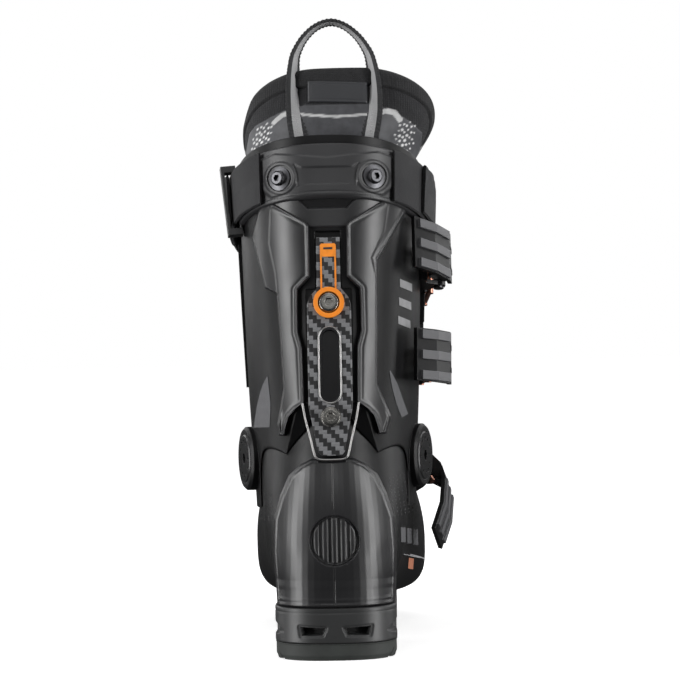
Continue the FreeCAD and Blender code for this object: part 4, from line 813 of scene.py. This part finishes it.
def strap_fold():
    """The webbing's end, turned back through the loop and sewn down on the inner side."""
    angle, share = band_grid(212, 169, 30, 90)
    t = np.linspace(0, 1, 90)[None, :]
    rise = 6.9 + 1.9 * bump(t - 0.12, 0.16) - 0.6 * t
    edge = rounded_edge(np.minimum(share, 1 - share) * 29.0, 0.9)
    lay_band("strap_webbing_fold", share, angle, STRAP_DROP + 2, 29.0, rise + 0.9 * edge, rise - 0.9 * edge)


strap_band(
    "strap_webbing_band", (-62, 242), 3.7, 5.9, STRAP_DROP + 1, 31.0,
    waves=0.25, columns=420, seed=1.0, replaced="power_strap",
)
strap_band(
    "strap_webbing_tail", (-40, 28), 6.1, 8.3, STRAP_DROP + 2, 29.0,
    waves=0.9, columns=160, seed=2.3, replaced="power_strap_tail",
)
strap_fold()

# ------------------------------------------------------------------ liner collar, tongue and pull loop

LINER_TOP = [(-60, 345), (4, 342), (34, 329), (66, 310), (110, 297), (190, 292)]  # depth and height
LINER_SHIFT = 8.0
COLLAR_FOOT = 236.0
COLLAR_ROLL = 3.6  # radius of the rolled rim
COLLAR_GAP = math.radians(17.5)  # half of the opening for the tongue
PRINTS_END = 66.0  # depth behind which the collar is printed
PRINTED_FIELD = [
    (-51, 230), (-51, 307), (-48, 311), (-32, 318), (-20, 320.5), (18, 320.5), (28, 318), (41, 312),
    (52, 305.5), (53, 298), (53, 230),
]
STRIPE_LINE = [
    (-36.6, 311.6), (-32.6, 315.4), (-29, 316.2), (-16, 314.4), (0, 313.0), (16, 314.0), (29, 316.2),
    (33, 315.6), (37.4, 311.4),
]
DOT_FIELDS = ((-42.0, 300.5), (42.5, 300.0))
DOTS = 38  # in each field
GOLDEN_ANGLE = 2.399963


def liner_shift(z):
    """The soft collar sits a little to the outer side above the cuff's rim."""
    return LINER_SHIFT * ramp(z, 285.0, 325.0)


def collar_top(angle):
    """Height of the collar's upper edge at each angle, smoothed along the edge."""
    ys, zs = zip(*LINER_TOP)
    top = np.full(angle.shape, 330.0)
    for _ in range(10):
        y = ring_xy(LINER_LEVELS, angle, top, np.zeros(angle.shape))[1]
        top = np.interp(y, ys, zs)
    kernel = np.hanning(31)
    return np.convolve(np.pad(top, 15, mode="edge"), kernel / kernel.sum(), mode="valid")


def printed_dots(x, z):
    """Two fields of small dots in a sunflower's order, larger towards the middle."""
    dots = np.zeros(x.shape)
    draw = np.random.default_rng(4)
    for cx, cz in DOT_FIELDS:
        for k in range(DOTS):
            far = 10.5 * math.sqrt((k + 0.5) / DOTS)
            turn = k * GOLDEN_ANGLE
            px, pz = cx + far * 0.62 * math.cos(turn), cz + far * 1.1 * math.sin(turn)
            size = 0.72 - 0.032 * far + 0.22 * draw.random()
            dots = np.maximum(dots, ramp(size - np.hypot(x - px, z - pz), -0.12, 0.12))
    return dots


def collar():
    """Outer wall, rolled rim and inner wall of the collar, with the masks its look reads."""
    angle = np.linspace(math.pi / 2 + COLLAR_GAP, math.pi / 2 + 2 * math.pi - COLLAR_GAP, 460)
    rim = collar_top(angle) - COLLAR_ROLL
    wall_z = COLLAR_FOOT + (rim - COLLAR_FOOT) * np.linspace(0, 1, 150)[:, None]
    below = rim - wall_z
    lift = 0.9 * ramp(7.0 - below, -0.6, 0.8) - 0.7 * bump(below - 7.6, 0.7)
    around = np.broadcast_to(angle, wall_z.shape)
    x, y = ring_xy(LINER_LEVELS, around, wall_z, lift)
    rear = y < PRINTS_END
    printed = np.where(rear, ramp(signed(x, wall_z, PRINTED_FIELD), -0.25, 0.25), 0)
    lift += 0.6 * printed
    x, y = ring_xy(LINER_LEVELS, around, wall_z, lift)
    width = 0.75 + 0.75 * ramp(np.abs(x), 24, 27)
    stripe = ramp(width - edge_distance(x, wall_z, STRIPE_LINE, closed=False), -0.15, 0.15)
    fleece = ramp(y, PRINTS_END, PRINTS_END + 4) * ramp(306.0 - wall_z, 0, 4)

    arc = np.linspace(0, math.pi, 16)[1:-1, None]
    arc_z = rim + COLLAR_ROLL * np.sin(arc)
    arc_lift = 0.9 - (COLLAR_ROLL + 0.45) * (1 - np.cos(arc))
    fall = np.linspace(0, 1, 40)[:, None]
    inner_z = rim + (COLLAR_FOOT - rim) * fall
    inner_lift = -7.2 - 1.2 * np.sin(fall * math.pi)

    def stacked(wall, roll, inner):
        """Rows of the outer wall, the roll and the inner wall, one above the other."""
        return np.vstack([wall, np.broadcast_to(roll, arc_z.shape), np.broadcast_to(inner, inner_z.shape)])

    z = stacked(wall_z, arc_z, inner_z)
    x, y = ring_xy(LINER_LEVELS, np.broadcast_to(angle, z.shape), z, stacked(lift, arc_lift, inner_lift))
    masks = {
        "overlay": stacked(printed, 0, 0),
        "stripe": stacked(np.where(rear, stripe, 0), 0, 0),
        "dots": stacked(np.where(rear, printed_dots(x[: len(wall_z)], wall_z), 0), 0, 0),
        "rolled": stacked(ramp(7.4 - below, -0.3, 0.3), 1, 0),
        "fleece": stacked(fleece, fleece[-1], 0.35),
    }
    return np.stack([x + liner_shift(z), y, z], -1), masks


def collar_look():
    """Knit with a rolled rim, a smooth printed field, a stripe, dots and a pale lining."""
    look = Look("collar_fabric", (0.016, 0.016, 0.0175), 0.9, sheen=0.05, specular=0.3)
    weave = look.cells(1 / 0.0013, 0.15)
    look.paint(look.math("MULTIPLY", weave, 0.9, clamp=True), (0.004, 0.004, 0.005))
    look.paint(look.math("MULTIPLY", look.noise(60.0), 0.35), (0.035, 0.035, 0.037))
    look.paint(look.mask("rolled"), (0.016, 0.016, 0.017))
    fuzz = look.noise(1500.0, detail=5.0)
    look.paint(look.mask("overlay"), (0.055, 0.056, 0.061))
    look.paint(look.mask("stripe"), (0.42, 0.42, 0.42))
    look.paint(look.mask("dots"), (0.62, 0.62, 0.62))
    look.paint(look.mask("fleece"), (0.36, 0.36, 0.355))
    look.vary(200.0, 0.2)
    look.set("Roughness", 0.92, 0.5, look.mask("overlay"))
    soft = look.math("SUBTRACT", 1.0, look.mask("overlay"))
    look.relief(look.math("MULTIPLY", look.math("SUBTRACT", 1.0, weave), soft), 0.7, 0.0005)
    look.relief(look.math("MULTIPLY", fuzz, soft), 0.6, 0.0006)
    look.relief(look.noise(2600.0), 0.15, 0.0001)
    return look.done()


def capped_strip(name, points, material, body, masks, replaced):
    """A closed strip whose rows run round its section, with both ends filled by a ladder of faces."""
    rows, columns = points.shape[:2]
    index = np.arange(rows * columns).reshape(rows, columns)
    quads = np.stack([index[:-1, :-1], index[:-1, 1:], index[1:, 1:], index[1:, :-1]], -1).reshape(-1, 4)
    base = np.stack([index[0, :-1], index[-1, :-1], index[-1, 1:], index[0, 1:]], -1)
    faces = np.vstack([quads, base]).tolist()
    for column, flip in ((0, False), (columns - 1, True)):
        ring = index[:, column].tolist()
        low, high = 0, rows - 1
        while high - low > 1:
            face = [ring[low], ring[low + 1], ring[high - 1], ring[high]]
            if high - low == 2:
                face.pop(1)
            faces.append(face[::-1] if flip else face)
            low, high = low + 1, high - 1
    return make_piece(
        name, points.reshape(-1, 3), faces, body, material, replaced=replaced, masks=masks, crease=60.0
    )


collar_points, collar_masks = collar()
capped_strip("liner_collar", collar_points, collar_look(), "cuff", collar_masks, ["liner_cuff"])


def label_patch():
    """A plain sewn label between the legs of the pull loop."""
    share_x, share_z = np.meshgrid(np.linspace(0, 1, 60), np.linspace(0, 1, 30))
    x = -18.5 + 35.0 * share_x
    z = 334.6 - 12.4 * share_z - 1.6 * share_x
    edge = np.minimum(np.minimum(share_x, 1 - share_x) * 35.0, np.minimum(share_z, 1 - share_z) * 12.4)
    lift = 0.3 + 0.9 * rounded_edge(edge, 0.8) - 0.25 * bump(edge - 1.5, 0.25)
    y = rear_y(LINER_LEVELS, x, z, lift + 0.4)
    back = rear_y(LINER_LEVELS, x, z, np.full(x.shape, -0.3))
    moved = x + liner_shift(z)
    return np.stack([moved, y, z], -1), np.stack([moved, back, z], -1)


LABEL = moulded("label_rubber", (0.022, 0.023, 0.026), 0.5, grain=0.4, edges=False)
closed_sheet("liner_label_plain", *label_patch(), "cuff", LABEL, crease=50.0)

TONGUE_LOW, TONGUE_TALL = 190.0, 132.0
TONGUE_HALF = math.radians(15.0)
TONGUE_REACH = 88  # from the middle of the collar to the tongue, turns angles into widths


def tongue():
    """The padded tongue between the collar's front edges, quilted across."""
    off, t = np.meshgrid(np.linspace(-TONGUE_HALF, TONGUE_HALF, 120), np.linspace(0, 1, 110))
    z = TONGUE_LOW + TONGUE_TALL * t
    angle = math.pi / 2 + off
    puff = rounded_edge(np.minimum((1 - t) * TONGUE_TALL, (TONGUE_HALF - np.abs(off)) * TONGUE_REACH), 5.0)
    channel = 0.8 * bump(((z - TONGUE_LOW) % 22) - 11, 1.2)
    shift = liner_shift(z)
    sides = []
    for lift in (-3.4 + 3.8 * puff - channel, -3.6 - 3.4 * puff):
        x, y = ring_xy(LINER_LEVELS, angle, z, lift)
        sides.append(np.stack([x + shift, y, z], -1))
    return sides


closed_sheet("liner_tongue_pad", *tongue(), "cuff", FOAM_KNIT, replaced=["liner_tongue"], crease=60.0)

# x, z and twist: 0 flat on the collar, 1 edge-on to the eye.
LOOP_PATH = [
    (-14.8, 296, 0.0), (-15.9, 302, 0.0), (-17.0, 309, 0.08), (-18.0, 318, 0.28), (-18.8, 332.7, 0.57),
    (-18.0, 347.0, 0.78), (-15.7, 354.2, 0.88), (-11.2, 361.2, 0.95), (-4.6, 366.8, 1.0), (3.4, 369.2, 1.0),
    (11.2, 367.0, 1.0), (18.4, 361.2, 0.95), (23.4, 354.2, 0.88), (26.4, 347.0, 0.78), (28.4, 332.7, 0.57),
    (28.0, 318, 0.28), (26.6, 309, 0.08), (25.2, 302, 0.0), (24.4, 297, 0.0),
]


def pull_loop():
    """Webbing that lies flat on the collar at its feet and turns edge-on at the crown."""
    path = curve_through(LOOP_PATH, 260)
    x, z, turn = path.T
    rest = rear_y(LINER_LEVELS, x - liner_shift(z), np.minimum(z, 338.0), np.full(x.shape, 1.6))
    lean = np.clip(z - 336.0, 0, None)
    y = rest + lean * 0.25
    centre = np.stack([x, y, z], -1)
    tangent = np.gradient(centre, axis=0)
    tangent /= np.linalg.norm(tangent, axis=1)[:, None]
    depth = np.array([0, 1.0, 0])
    radial = np.cross(np.broadcast_to(depth, tangent.shape), tangent)
    radial /= np.linalg.norm(radial, axis=1)[:, None]
    swing = turn * math.radians(76)
    width = radial * np.cos(swing)[:, None] + depth * np.sin(swing)[:, None]
    width -= tangent * np.sum(width * tangent, 1)[:, None]
    width /= np.linalg.norm(width, axis=1)[:, None]
    normal = np.cross(tangent, width)
    steps = np.concatenate([[0], np.cumsum(np.linalg.norm(np.diff(centre, axis=0), axis=1))])
    across = np.linspace(-1, 1, 25)
    half, thick = 5.6, 0.75
    shape = np.sqrt(1 - np.abs(across) ** 6 * 0.98)
    rope = 0.22 * ramp(np.abs(across), 0.5, 0.6)[None, :]
    rope = rope * np.sin(steps[:, None] * 2 * math.pi / 2.4 + 5 * across[None, :])
    ribbon = centre[:, None, :] + width[:, None, :] * (across * half)[None, :, None]
    offset = normal[:, None, :] * ((thick * shape)[None, :] + rope)[..., None]
    masks = {
        "across": np.repeat((across * half)[None, :], len(steps), 0),
        "along": np.repeat(steps[:, None], len(across), 1),
    }
    return ribbon + offset, ribbon - offset, masks


loop_outer, loop_inner, loop_masks = pull_loop()
closed_sheet(
    "pull_loop_webbing", loop_outer, loop_inner, "cuff", LOOP_WEB,
    replaced=["liner_pull_loop"], masks=loop_masks, crease=60.0,
)

# ------------------------------------------------------------------ heel lug and tread, rounded in plan

HEEL_HALF, HEEL_FRONT, HEEL_POWER = 35.4, 33.5, 2.5
HEEL_MIDDLE = -2.0  # depth where the rounded rear meets the straight sides


def heel_ring(count):
    """Plan outline of the heel, a rounded rear and a straight front, with its outward normals."""
    turn = np.linspace(math.pi, 2 * math.pi, count)
    c, s = np.cos(turn), np.sin(turn)
    radius = (np.abs(c) ** HEEL_POWER + np.abs(s) ** HEEL_POWER) ** (-1 / HEEL_POWER)
    arc = np.stack([HEEL_HALF * radius * c, HEEL_MIDDLE + (HEEL_MIDDLE - HEEL_REAR) * radius * s], -1)
    front = HEEL_HALF - 1.0
    side = np.linspace(0, 1, 40)[1:, None]
    right = arc[-1] + (np.array([front, HEEL_FRONT]) - arc[-1]) * side
    back = np.linspace(front, -front, 50)[1:]
    front_row = np.stack([back, np.full(back.shape, HEEL_FRONT)], -1)
    corner = np.array([-front, HEEL_FRONT])
    left = corner + (arc[0] - corner) * side[:-1]
    ring = np.vstack([arc, right, front_row, left])
    along = np.roll(ring, -1, axis=0) - np.roll(ring, 1, axis=0)
    normal = np.stack([along[:, 1], -along[:, 0]], -1)
    return ring, normal / np.linalg.norm(normal, axis=1)[:, None]


def standing_block(name, levels, lift_of, material, replaced):
    """A closed block of the heel's plan outline swept up through levels, with relief on its sides."""
    ring, normal = heel_ring(260)
    z = np.repeat(levels[:, None], len(ring), 1)
    x = np.repeat(ring[None, :, 0], len(levels), 0)
    lift = lift_of(x, z, np.repeat((ring[None, :, 1] < 10), len(levels), 0))
    points = np.stack([x + normal[None, :, 0] * lift, ring[None, :, 1] + normal[None, :, 1] * lift, z], -1)
    index, quads = tube_quads(*x.shape)
    low, high = index.size, index.size + 1
    caps = [[low, b, a] for a, b in zip(index[0], np.roll(index[0], -1))]
    caps += [[high, a, b] for a, b in zip(index[-1], np.roll(index[-1], -1))]
    points = np.vstack([points.reshape(-1, 3), [[0.0, 0.0, levels[0]], [0.0, 0.0, levels[-1]]]])
    make_piece(name, points, quads.tolist() + caps, "lower_shell", material, replaced=replaced, crease=50.0)


def lug_relief(x, z, rear):
    """Two windows at the rear, a notch on each side and a groove under the upper edge."""
    lift = -1.2 + 1.2 * rounded_edge(np.minimum(z - 9.6, 30.2 - z), 1.0)
    lift -= 0.25 * bump(z - 27.2, 0.5)
    for window in (
        [(-20.2, 19.2), (-5.4, 18.4), (-7.2, 14.6), (-19.4, 14.2)],
        [(20.8, 19.2), (5.4, 18.4), (7.2, 14.6), (19.8, 14.2)],
    ):
        depth = ramp(signed(x, z, window), -0.1, 0.6)
        lift = np.where(rear, lift - 6.5 * depth, lift)
        lift = np.where(rear, lift - 0.5 * ramp(signed(x, z, window), -1.6, -0.9), lift)
    for side in (-1, 1):
        notch = [(side * 37, 22.5), (side * 29.6, 16.0), (side * 37, 13.0)]
        lift = np.where(rear, lift - 2.4 * ramp(signed(x, z, notch), -0.2, 0.8), lift)
    return lift


def tread_relief(x, z, rear):
    """A tucked-in lower edge and a notch on each side."""
    lift = -0.4 - 0.9 * ramp(3.0 - z, 0, 3) + 0.3 * ramp(z, 8.6, 9.2)
    for side in (-1, 1):
        notch = [(side * 34.5, 6.5), (side * 30.5, -1), (side * 33.0, -1)]
        lift -= 2.6 * ramp(signed(x, z, notch), -0.3, 0.4)
    return lift


standing_block("heel_lug_block", np.linspace(9.6, 30.2, 64), lug_relief, SOLE_GREY, ["heel_sole_block"])
standing_block("heel_tread_pad", np.linspace(0.0, 9.5, 32), tread_relief, RUBBER, ["heel_tread"])

# ------------------------------------------------------------------ applied graphics and trims


def paint_look(name, colour, roughness):
    """Printed paint."""
    look = Look(name, colour, roughness)
    look.vary(300.0, 0.12)
    look.relief(look.noise(2600.0), 0.12, 0.00005)
    return look.done()


MATT_STRIPE = paint_look("stripe_grey_matt", (0.075, 0.075, 0.08), 0.6)
LIGHT_BAR = paint_look("bar_light_grey", (0.20, 0.20, 0.205), 0.5)
THIN_LINE = paint_look("line_light_grey", (0.34, 0.34, 0.35), 0.4)
COPPER_PAINT = paint_look("tag_copper", (0.50, 0.20, 0.12), 0.35)
ORANGE_PAINT = paint_look("decal_orange", (0.80, 0.24, 0.015), 0.4)
STUD_GREY = paint_look("stud_grey", (0.06, 0.06, 0.062), 0.35)

TREES = {"cuff": node_tree_of("cuff"), "lower_shell": node_tree_of("lower_shell")}


def ruled_decal(name, body, material, rows, columns, first, second):
    """A thin closed patch between two curves given in the rear view, laid on a body's shell."""
    a, b = curve_through(first, rows), curve_through(second, rows)
    share = np.linspace(0, 1, columns)[None, :, None]
    flat = a[:, None, :] * (1 - share) + b[:, None, :] * share
    outer, inner = (seen_on(TREES[body], flat[..., 0], flat[..., 1], lift) for lift in (0.22, -0.28))
    closed_sheet(name, outer, inner, body, material, crease=60.0)


ruled_decal(
    "cuff_stripe_medial", "cuff", MATT_STRIPE, 60, 14,
    [(-35.6, 163), (-38.6, 157), (-41.5, 147), (-43.8, 134)],
    [(-35.2, 162.5), (-34.6, 155), (-34.0, 146), (-34.8, 134)],
)
ruled_decal(
    "cuff_stripe_lateral", "cuff", MATT_STRIPE, 60, 14,
    [(34.4, 165), (38.0, 158), (41.0, 149), (44.0, 140)],
    [(34.0, 164.5), (35.2, 156), (37.6, 146), (40.4, 138)],
)
for k in range(3):
    left, top = 41.0 - k * 0.7, 217.0 - k * 10.5
    ruled_decal(
        f"cuff_bar_lateral_{k + 1}", "cuff", LIGHT_BAR, 20, 16,
        [(left, top), (left + 6.8, top - 3.0)],
        [(left, top - 4.5), (left + 6.8, top - 7.5)],
    )
for k in range(3):
    left = 38.6 + k * 3.5
    ruled_decal(
        f"shell_bar_lateral_{k + 1}", "lower_shell", MATT_STRIPE, 14, 20,
        [(left, 75.5 - k * 0.6), (left + 2.6, 75.2 - k * 0.6)],
        [(left, 67.0 - k * 0.8), (left + 2.6, 66.8 - k * 0.8)],
    )
ruled_decal(
    "shell_line_lateral", "lower_shell", THIN_LINE, 30, 4,
    [(43.6, 60.2), (48.0, 59.0), (53.5, 57.0)],
    [(43.6, 59.5), (48.0, 58.3), (53.5, 56.3)],
)
ruled_decal(
    "shell_tag_lateral", "lower_shell", COPPER_PAINT, 10, 12,
    [(42.8, 58.0), (45.6, 57.4)],
    [(42.2, 52.0), (45.0, 51.4)],
)


def studs(name, places, radius=0.42):
    """Small moulded domes on the lower shell, at (x, z) places of the rear view."""
    tree = TREES["lower_shell"]
    points, faces = [], []
    for x, z in places:
        centre = Vector(seen_on(tree, np.array([x]), np.array([z]), 0.0)[0])
        hit, normal, _, _ = tree.find_nearest(centre)
        if normal.dot(Vector(EYE_MM) - centre) < 0:
            normal = -normal
        side = normal.orthogonal().normalized()
        up = normal.cross(side)
        start = len(points)
        for level, share in ((-0.3, 1.0), (0.12, 0.92), (0.3, 0.55)):
            for k in range(8):
                turn = k * math.pi / 4
                spoke = side * math.cos(turn) + up * math.sin(turn)
                points.append(hit + normal * level + spoke * radius * share)
        points.append(hit + normal * 0.38)
        points.append(hit - normal * 0.3)
        for k in range(8):
            after = (k + 1) % 8
            for ring in (start, start + 8):
                faces.append([ring + k, ring + after, ring + 8 + after, ring + 8 + k])
            faces.append([start + 16 + k, start + 16 + after, start + 24])
            faces.append([start + after, start + k, start + 25])
    make_piece(name, np.array([list(p) for p in points]), faces, "lower_shell", STUD_GREY, crease=70.0)


lateral_studs = [
    (32.6 + 2.1 * c + 0.25 * r, 103.5 - 2.15 * r + 0.5 * c)
    for r in range(11)
    for c in range(7)
    if 31.5 + 0.28 * r < 32.6 + 2.1 * c + 0.25 * r < 42.5 + 0.55 * r
]
medial_studs = [
    (-40.5 + 2.0 * c, 97.0 - 2.15 * r - 0.5 * c)
    for r in range(8)
    for c in range(5)
    if -40.5 + 2.0 * c < -32.5 - 0.18 * r
]
studs("shell_studs_lateral", lateral_studs)
studs("shell_studs_medial", medial_studs)


def spine_point(x, z, out):
    """A point on the flat of the spine plate, out from the spine's line."""
    return np.array([x, spine_y(z) - out * math.cos(SPINE_LEAN), z + out * math.sin(SPINE_LEAN)])


def round_path(name, path, radius, cyclic=False, sides=10):
    """A round steel bead along a path of points on the cuff."""
    path = np.array(path, float)
    ahead = path[0] if cyclic else 2 * path[-1] - path[-2]
    behind = path[-1] if cyclic else 2 * path[0] - path[1]
    tangent = np.vstack([path[1:], ahead]) - np.vstack([behind, path[:-1]])
    tangent /= np.linalg.norm(tangent, axis=1)[:, None]
    first = np.cross(tangent, np.array([0, 1.0, 0.11]))
    first /= np.linalg.norm(first, axis=1)[:, None]
    second = np.cross(tangent, first)
    turn = np.linspace(0, 2 * math.pi, sides, endpoint=False)
    ring = path[:, None, :] + radius * (
        first[:, None, :] * np.cos(turn)[None, :, None] + second[:, None, :] * np.sin(turn)[None, :, None]
    )
    index, quads = tube_quads(len(path), sides)
    faces = quads.tolist()
    if cyclic:
        last, nxt = index[-1], index[0]
        faces += np.stack([last, np.roll(last, -1), np.roll(nxt, -1), nxt], -1).tolist()
    else:
        faces += [index[0][::-1].tolist(), index[-1].tolist()]
    make_piece(name, ring.reshape(-1, 3), faces, "cuff", STEEL, crease=60.0)


SEAT_EDGE = [
    (-16.2, 147), (-14.6, 138), (-11.9, 127), (-9.8, 118), (-8.4, 115.6), (-5, 114.6),
    (5, 114.6), (8.4, 115.6), (9.8, 118), (11.9, 127), (14.6, 138), (16.2, 147),
]
# A bright steel bead along the plate seat's edge: a painted highlight, standing in for the light on the
# plastic edge of the plate's pocket.
round_path("plate_seat_highlight_bead", [spine_point(x, z, 0.4) for x, z in curve_through(SEAT_EDGE, 90)], 0.62)


def stadium(half, low, high, out, count=24):
    """A slot-shaped outline on the spine plate."""
    points = []
    for start, middle in ((0, high - half), (math.pi, low + half)):
        for k in range(count + 1):
            turn = start + math.pi * k / count
            points.append(spine_point(half * math.cos(turn), middle + half * math.sin(turn), out))
    return points


SLOT_LOW = SPINE_FOOT_Z + 30.0 * math.cos(SPINE_LEAN)
SLOT_HIGH = SPINE_FOOT_Z + 74.0 * math.cos(SPINE_LEAN)
round_path("plate_slot_rim", stadium(6.25, SLOT_LOW, SLOT_HIGH, 0.25), 0.55, cyclic=True)


def plate_patch(name, outline_rows, out, thick, material):
    """A flat raised patch on the spine plate from rows of (z, left, right)."""
    share = np.linspace(0, 1, 8)
    outer, inner = (
        np.array([[spine_point(l + (r - l) * t, z, level) for t in share] for z, l, r in outline_rows])
        for level in (out + thick, out - 0.05)
    )
    closed_sheet(name, outer, inner, "cuff", material, crease=30.0)


corner = [(0.0, 0.9), (0.25, 0.45), (0.9, 0.0)]
block = [(238.6 - drop, inset - 4.6, 4.6 - inset) for drop, inset in corner]
block += [(231.0 + rise, -4.6, 4.6) for rise in (0.6, 0.0)]
plate_patch("plate_block_orange", block, 0.22, 0.35, ORANGE_PAINT)
for side, middle in (("left", -4.1), ("right", 4.1)):
    line = [(z, middle - 0.5, middle + 0.5) for z in (231.2, 212.0)]
    plate_patch(f"plate_line_orange_{side}", line, 0.22, 0.3, ORANGE_PAINT)
plate_patch("plate_block_window", [(z, -2.6, 2.6) for z in (236.4, 235.2)], 0.55, 0.12, GUNMETAL)

# ------------------------------------------------------------------ grip bars of the levers


PIN_HEIGHT = 11.0  # of a lever's pin over its seat on the shell


def lever_axes(seat, outward, pin):
    """Origin and axes of a lever as drawn in CAD: x along the handle, y along its pin, z outwards."""
    out = Vector(outward).normalized()
    along = Vector(pin)
    along = (along - out * along.dot(out)).normalized()
    return Vector(seat) + out * PIN_HEIGHT, along.cross(out), along, out


def tilted(degrees):
    """The upright direction, leaning to the toe."""
    return (0.0, math.sin(math.radians(degrees)), math.cos(math.radians(degrees)))


LEVERS = {
    "upper_buckle_lever": lever_axes((53.6, 62, 225), (0.992, 0.12, -0.03), tilted(16)),
    "lower_buckle_lever": lever_axes((51.9, 60, 169), (0.988, 0.15, -0.03), tilted(5)),
    "instep_buckle_lever": lever_axes((43.5, 114.6, 103), (0.857, 0.131, 0.499), (-0.144, -0.867, 0.474)),
}
# The handle's upper line as (x, z), and the grip bars that stand above it.
HANDLE_X, HANDLE_TOP = (-53.9, -41.7, -27.1, -14.0), (-20.8, -7.05, 3.25, 7.1)
BARS_Y = ((-15.0, -9.0), (-3.0, 3.0), (9.0, 15.0))
BARS_X = (-53.5, -27.4)
for name, (origin, along_x, along_y, along_z) in LEVERS.items():
    mesh = nodes[name].data
    mesh.materials.append(BAR_GREY)
    for polygon in mesh.polygons:
        local = polygon.center * 1000.0 - origin
        x, y, z = local.dot(along_x), local.dot(along_y), local.dot(along_z)
        on_bar = any(low <= y <= high for low, high in BARS_Y) and BARS_X[0] < x < BARS_X[1]
        if on_bar and z > np.interp(x, HANDLE_X, HANDLE_TOP) + 0.25:
            polygon.material_index = 1

# ------------------------------------------------------------------ stage, light, camera


def area_light(name, where, towards, size, power):
    """A softbox of the given width and height, in metres and watts."""
    data = bpy.data.lights.new(name, "AREA")
    data.shape = "RECTANGLE"
    data.size, data.size_y = size
    data.energy = power
    lamp = bpy.data.objects.new(name, data)
    bpy.context.scene.collection.objects.link(lamp)
    lamp.location = where
    lamp.rotation_euler = (Vector(towards) - Vector(where)).to_track_quat("-Z", "Y").to_euler()


def studio_floor():
    """A white floor for the camera only: contact shadow near the boot, plain white further off."""
    look = Look("studio_floor", (0.9, 0.9, 0.9), 0.7, specular=0.1)
    position = look.node("ShaderNodeNewGeometry").outputs["Position"]
    length = look.node("ShaderNodeVectorMath", {0: position}, operation="LENGTH").outputs["Value"]
    far = look.spread(length, 0.55, 1.0, 0.15, 0.55, interpolation_type="SMOOTHSTEP")
    camera_ray = look.node("ShaderNodeLightPath").outputs["Is Camera Ray"]
    glow = look.math("MULTIPLY", far, camera_ray)
    look.feed(look.shader, {"Emission Color": (1, 1, 1, 1), "Emission Strength": glow})
    look.paint(look.math("SUBTRACT", 1.0, camera_ray), (0.12, 0.12, 0.12))
    size = 60.0
    mesh = bpy.data.meshes.new("studio_floor")
    corners = [(-size, -size, 0), (size, -size, 0), (size, size, 0), (-size, size, 0)]
    mesh.from_pydata(corners, [], [(0, 1, 2, 3)])
    mesh.materials.append(look.done())
    piece = bpy.data.objects.new("studio_floor", mesh)
    bpy.context.scene.collection.objects.link(piece)
    piece.location.z = -0.0002
    piece.visible_shadow = piece.visible_glossy = piece.visible_diffuse = False


studio_floor()
BOOT = (0, 0, 0.2)
for name, where, towards, size, power in (
    ("left_softbox", (-1.45, -0.60, 0.2), BOOT, (0.45, 2.2), 34.0),
    ("right_softbox", (1.45, -0.62, 0.2), BOOT, (0.45, 2.2), 32.0),
    ("left_rim", (-0.80, 0.42, 0.5), (0, 0.03, 0.2), (0.16, 1.2), 2.6),
    ("right_rim", (0.80, 0.42, 0.5), (0, 0.03, 0.2), (0.16, 1.2), 2.6),
    ("top_softbox", (0, -0.30, 1.3), (0, 0, 0.15), (1.0, 0.8), 4.0),
    ("fill_softbox", (0, -1.8, 1.15), BOOT, (1.4, 0.7), 5.0),
    ("left_front_softbox", (-1.0, 1.6, 0.8), (0, 0.1, 0.15), (0.6, 1.2), 4.5),
    ("right_front_softbox", (1.0, 1.6, 0.8), (0, 0.1, 0.15), (0.6, 1.2), 4.0),
):
    area_light(name, where, towards, size, power)


WORLD_LIGHT = 0.035


def studio_world():
    """White to the camera, dimmer as a light, so that dark plastic stays dark."""
    world = bpy.data.worlds.new("studio")
    bpy.context.scene.world = world
    world.use_nodes = True
    tree = world.node_tree
    path = tree.nodes.new("ShaderNodeLightPath")
    spread = tree.nodes.new("ShaderNodeMapRange")
    tree.links.new(path.outputs["Is Camera Ray"], spread.inputs["Value"])
    spread.inputs["To Min"].default_value, spread.inputs["To Max"].default_value = WORLD_LIGHT, 1.0
    tree.nodes["Background"].inputs["Color"].default_value = (1, 1, 1, 1)
    tree.links.new(spread.outputs[0], tree.nodes["Background"].inputs["Strength"])
    bpy.context.scene.view_settings.view_transform = "Standard"


studio_world()

FRAME_WIDTH = 0.3876  # metres across the view at the heel's rear
SENSOR = 36.0
CAMERA_ROLL = math.radians(1.2)
OFF_CENTRE = 0.0162  # share of the view's width
camera_data = bpy.data.cameras.new("camera")
camera_data.sensor_width = SENSOR
camera_data.lens = SENSOR * EYE_BACK * MM / FRAME_WIDTH
camera_data.shift_x = OFF_CENTRE
camera_data.clip_end = 20
camera = bpy.data.objects.new("camera", camera_data)
bpy.context.scene.collection.objects.link(camera)
camera.location = Vector(EYE_MM) * MM
camera.rotation_euler = (math.pi / 2, CAMERA_ROLL, YAW)
bpy.context.scene.camera = camera
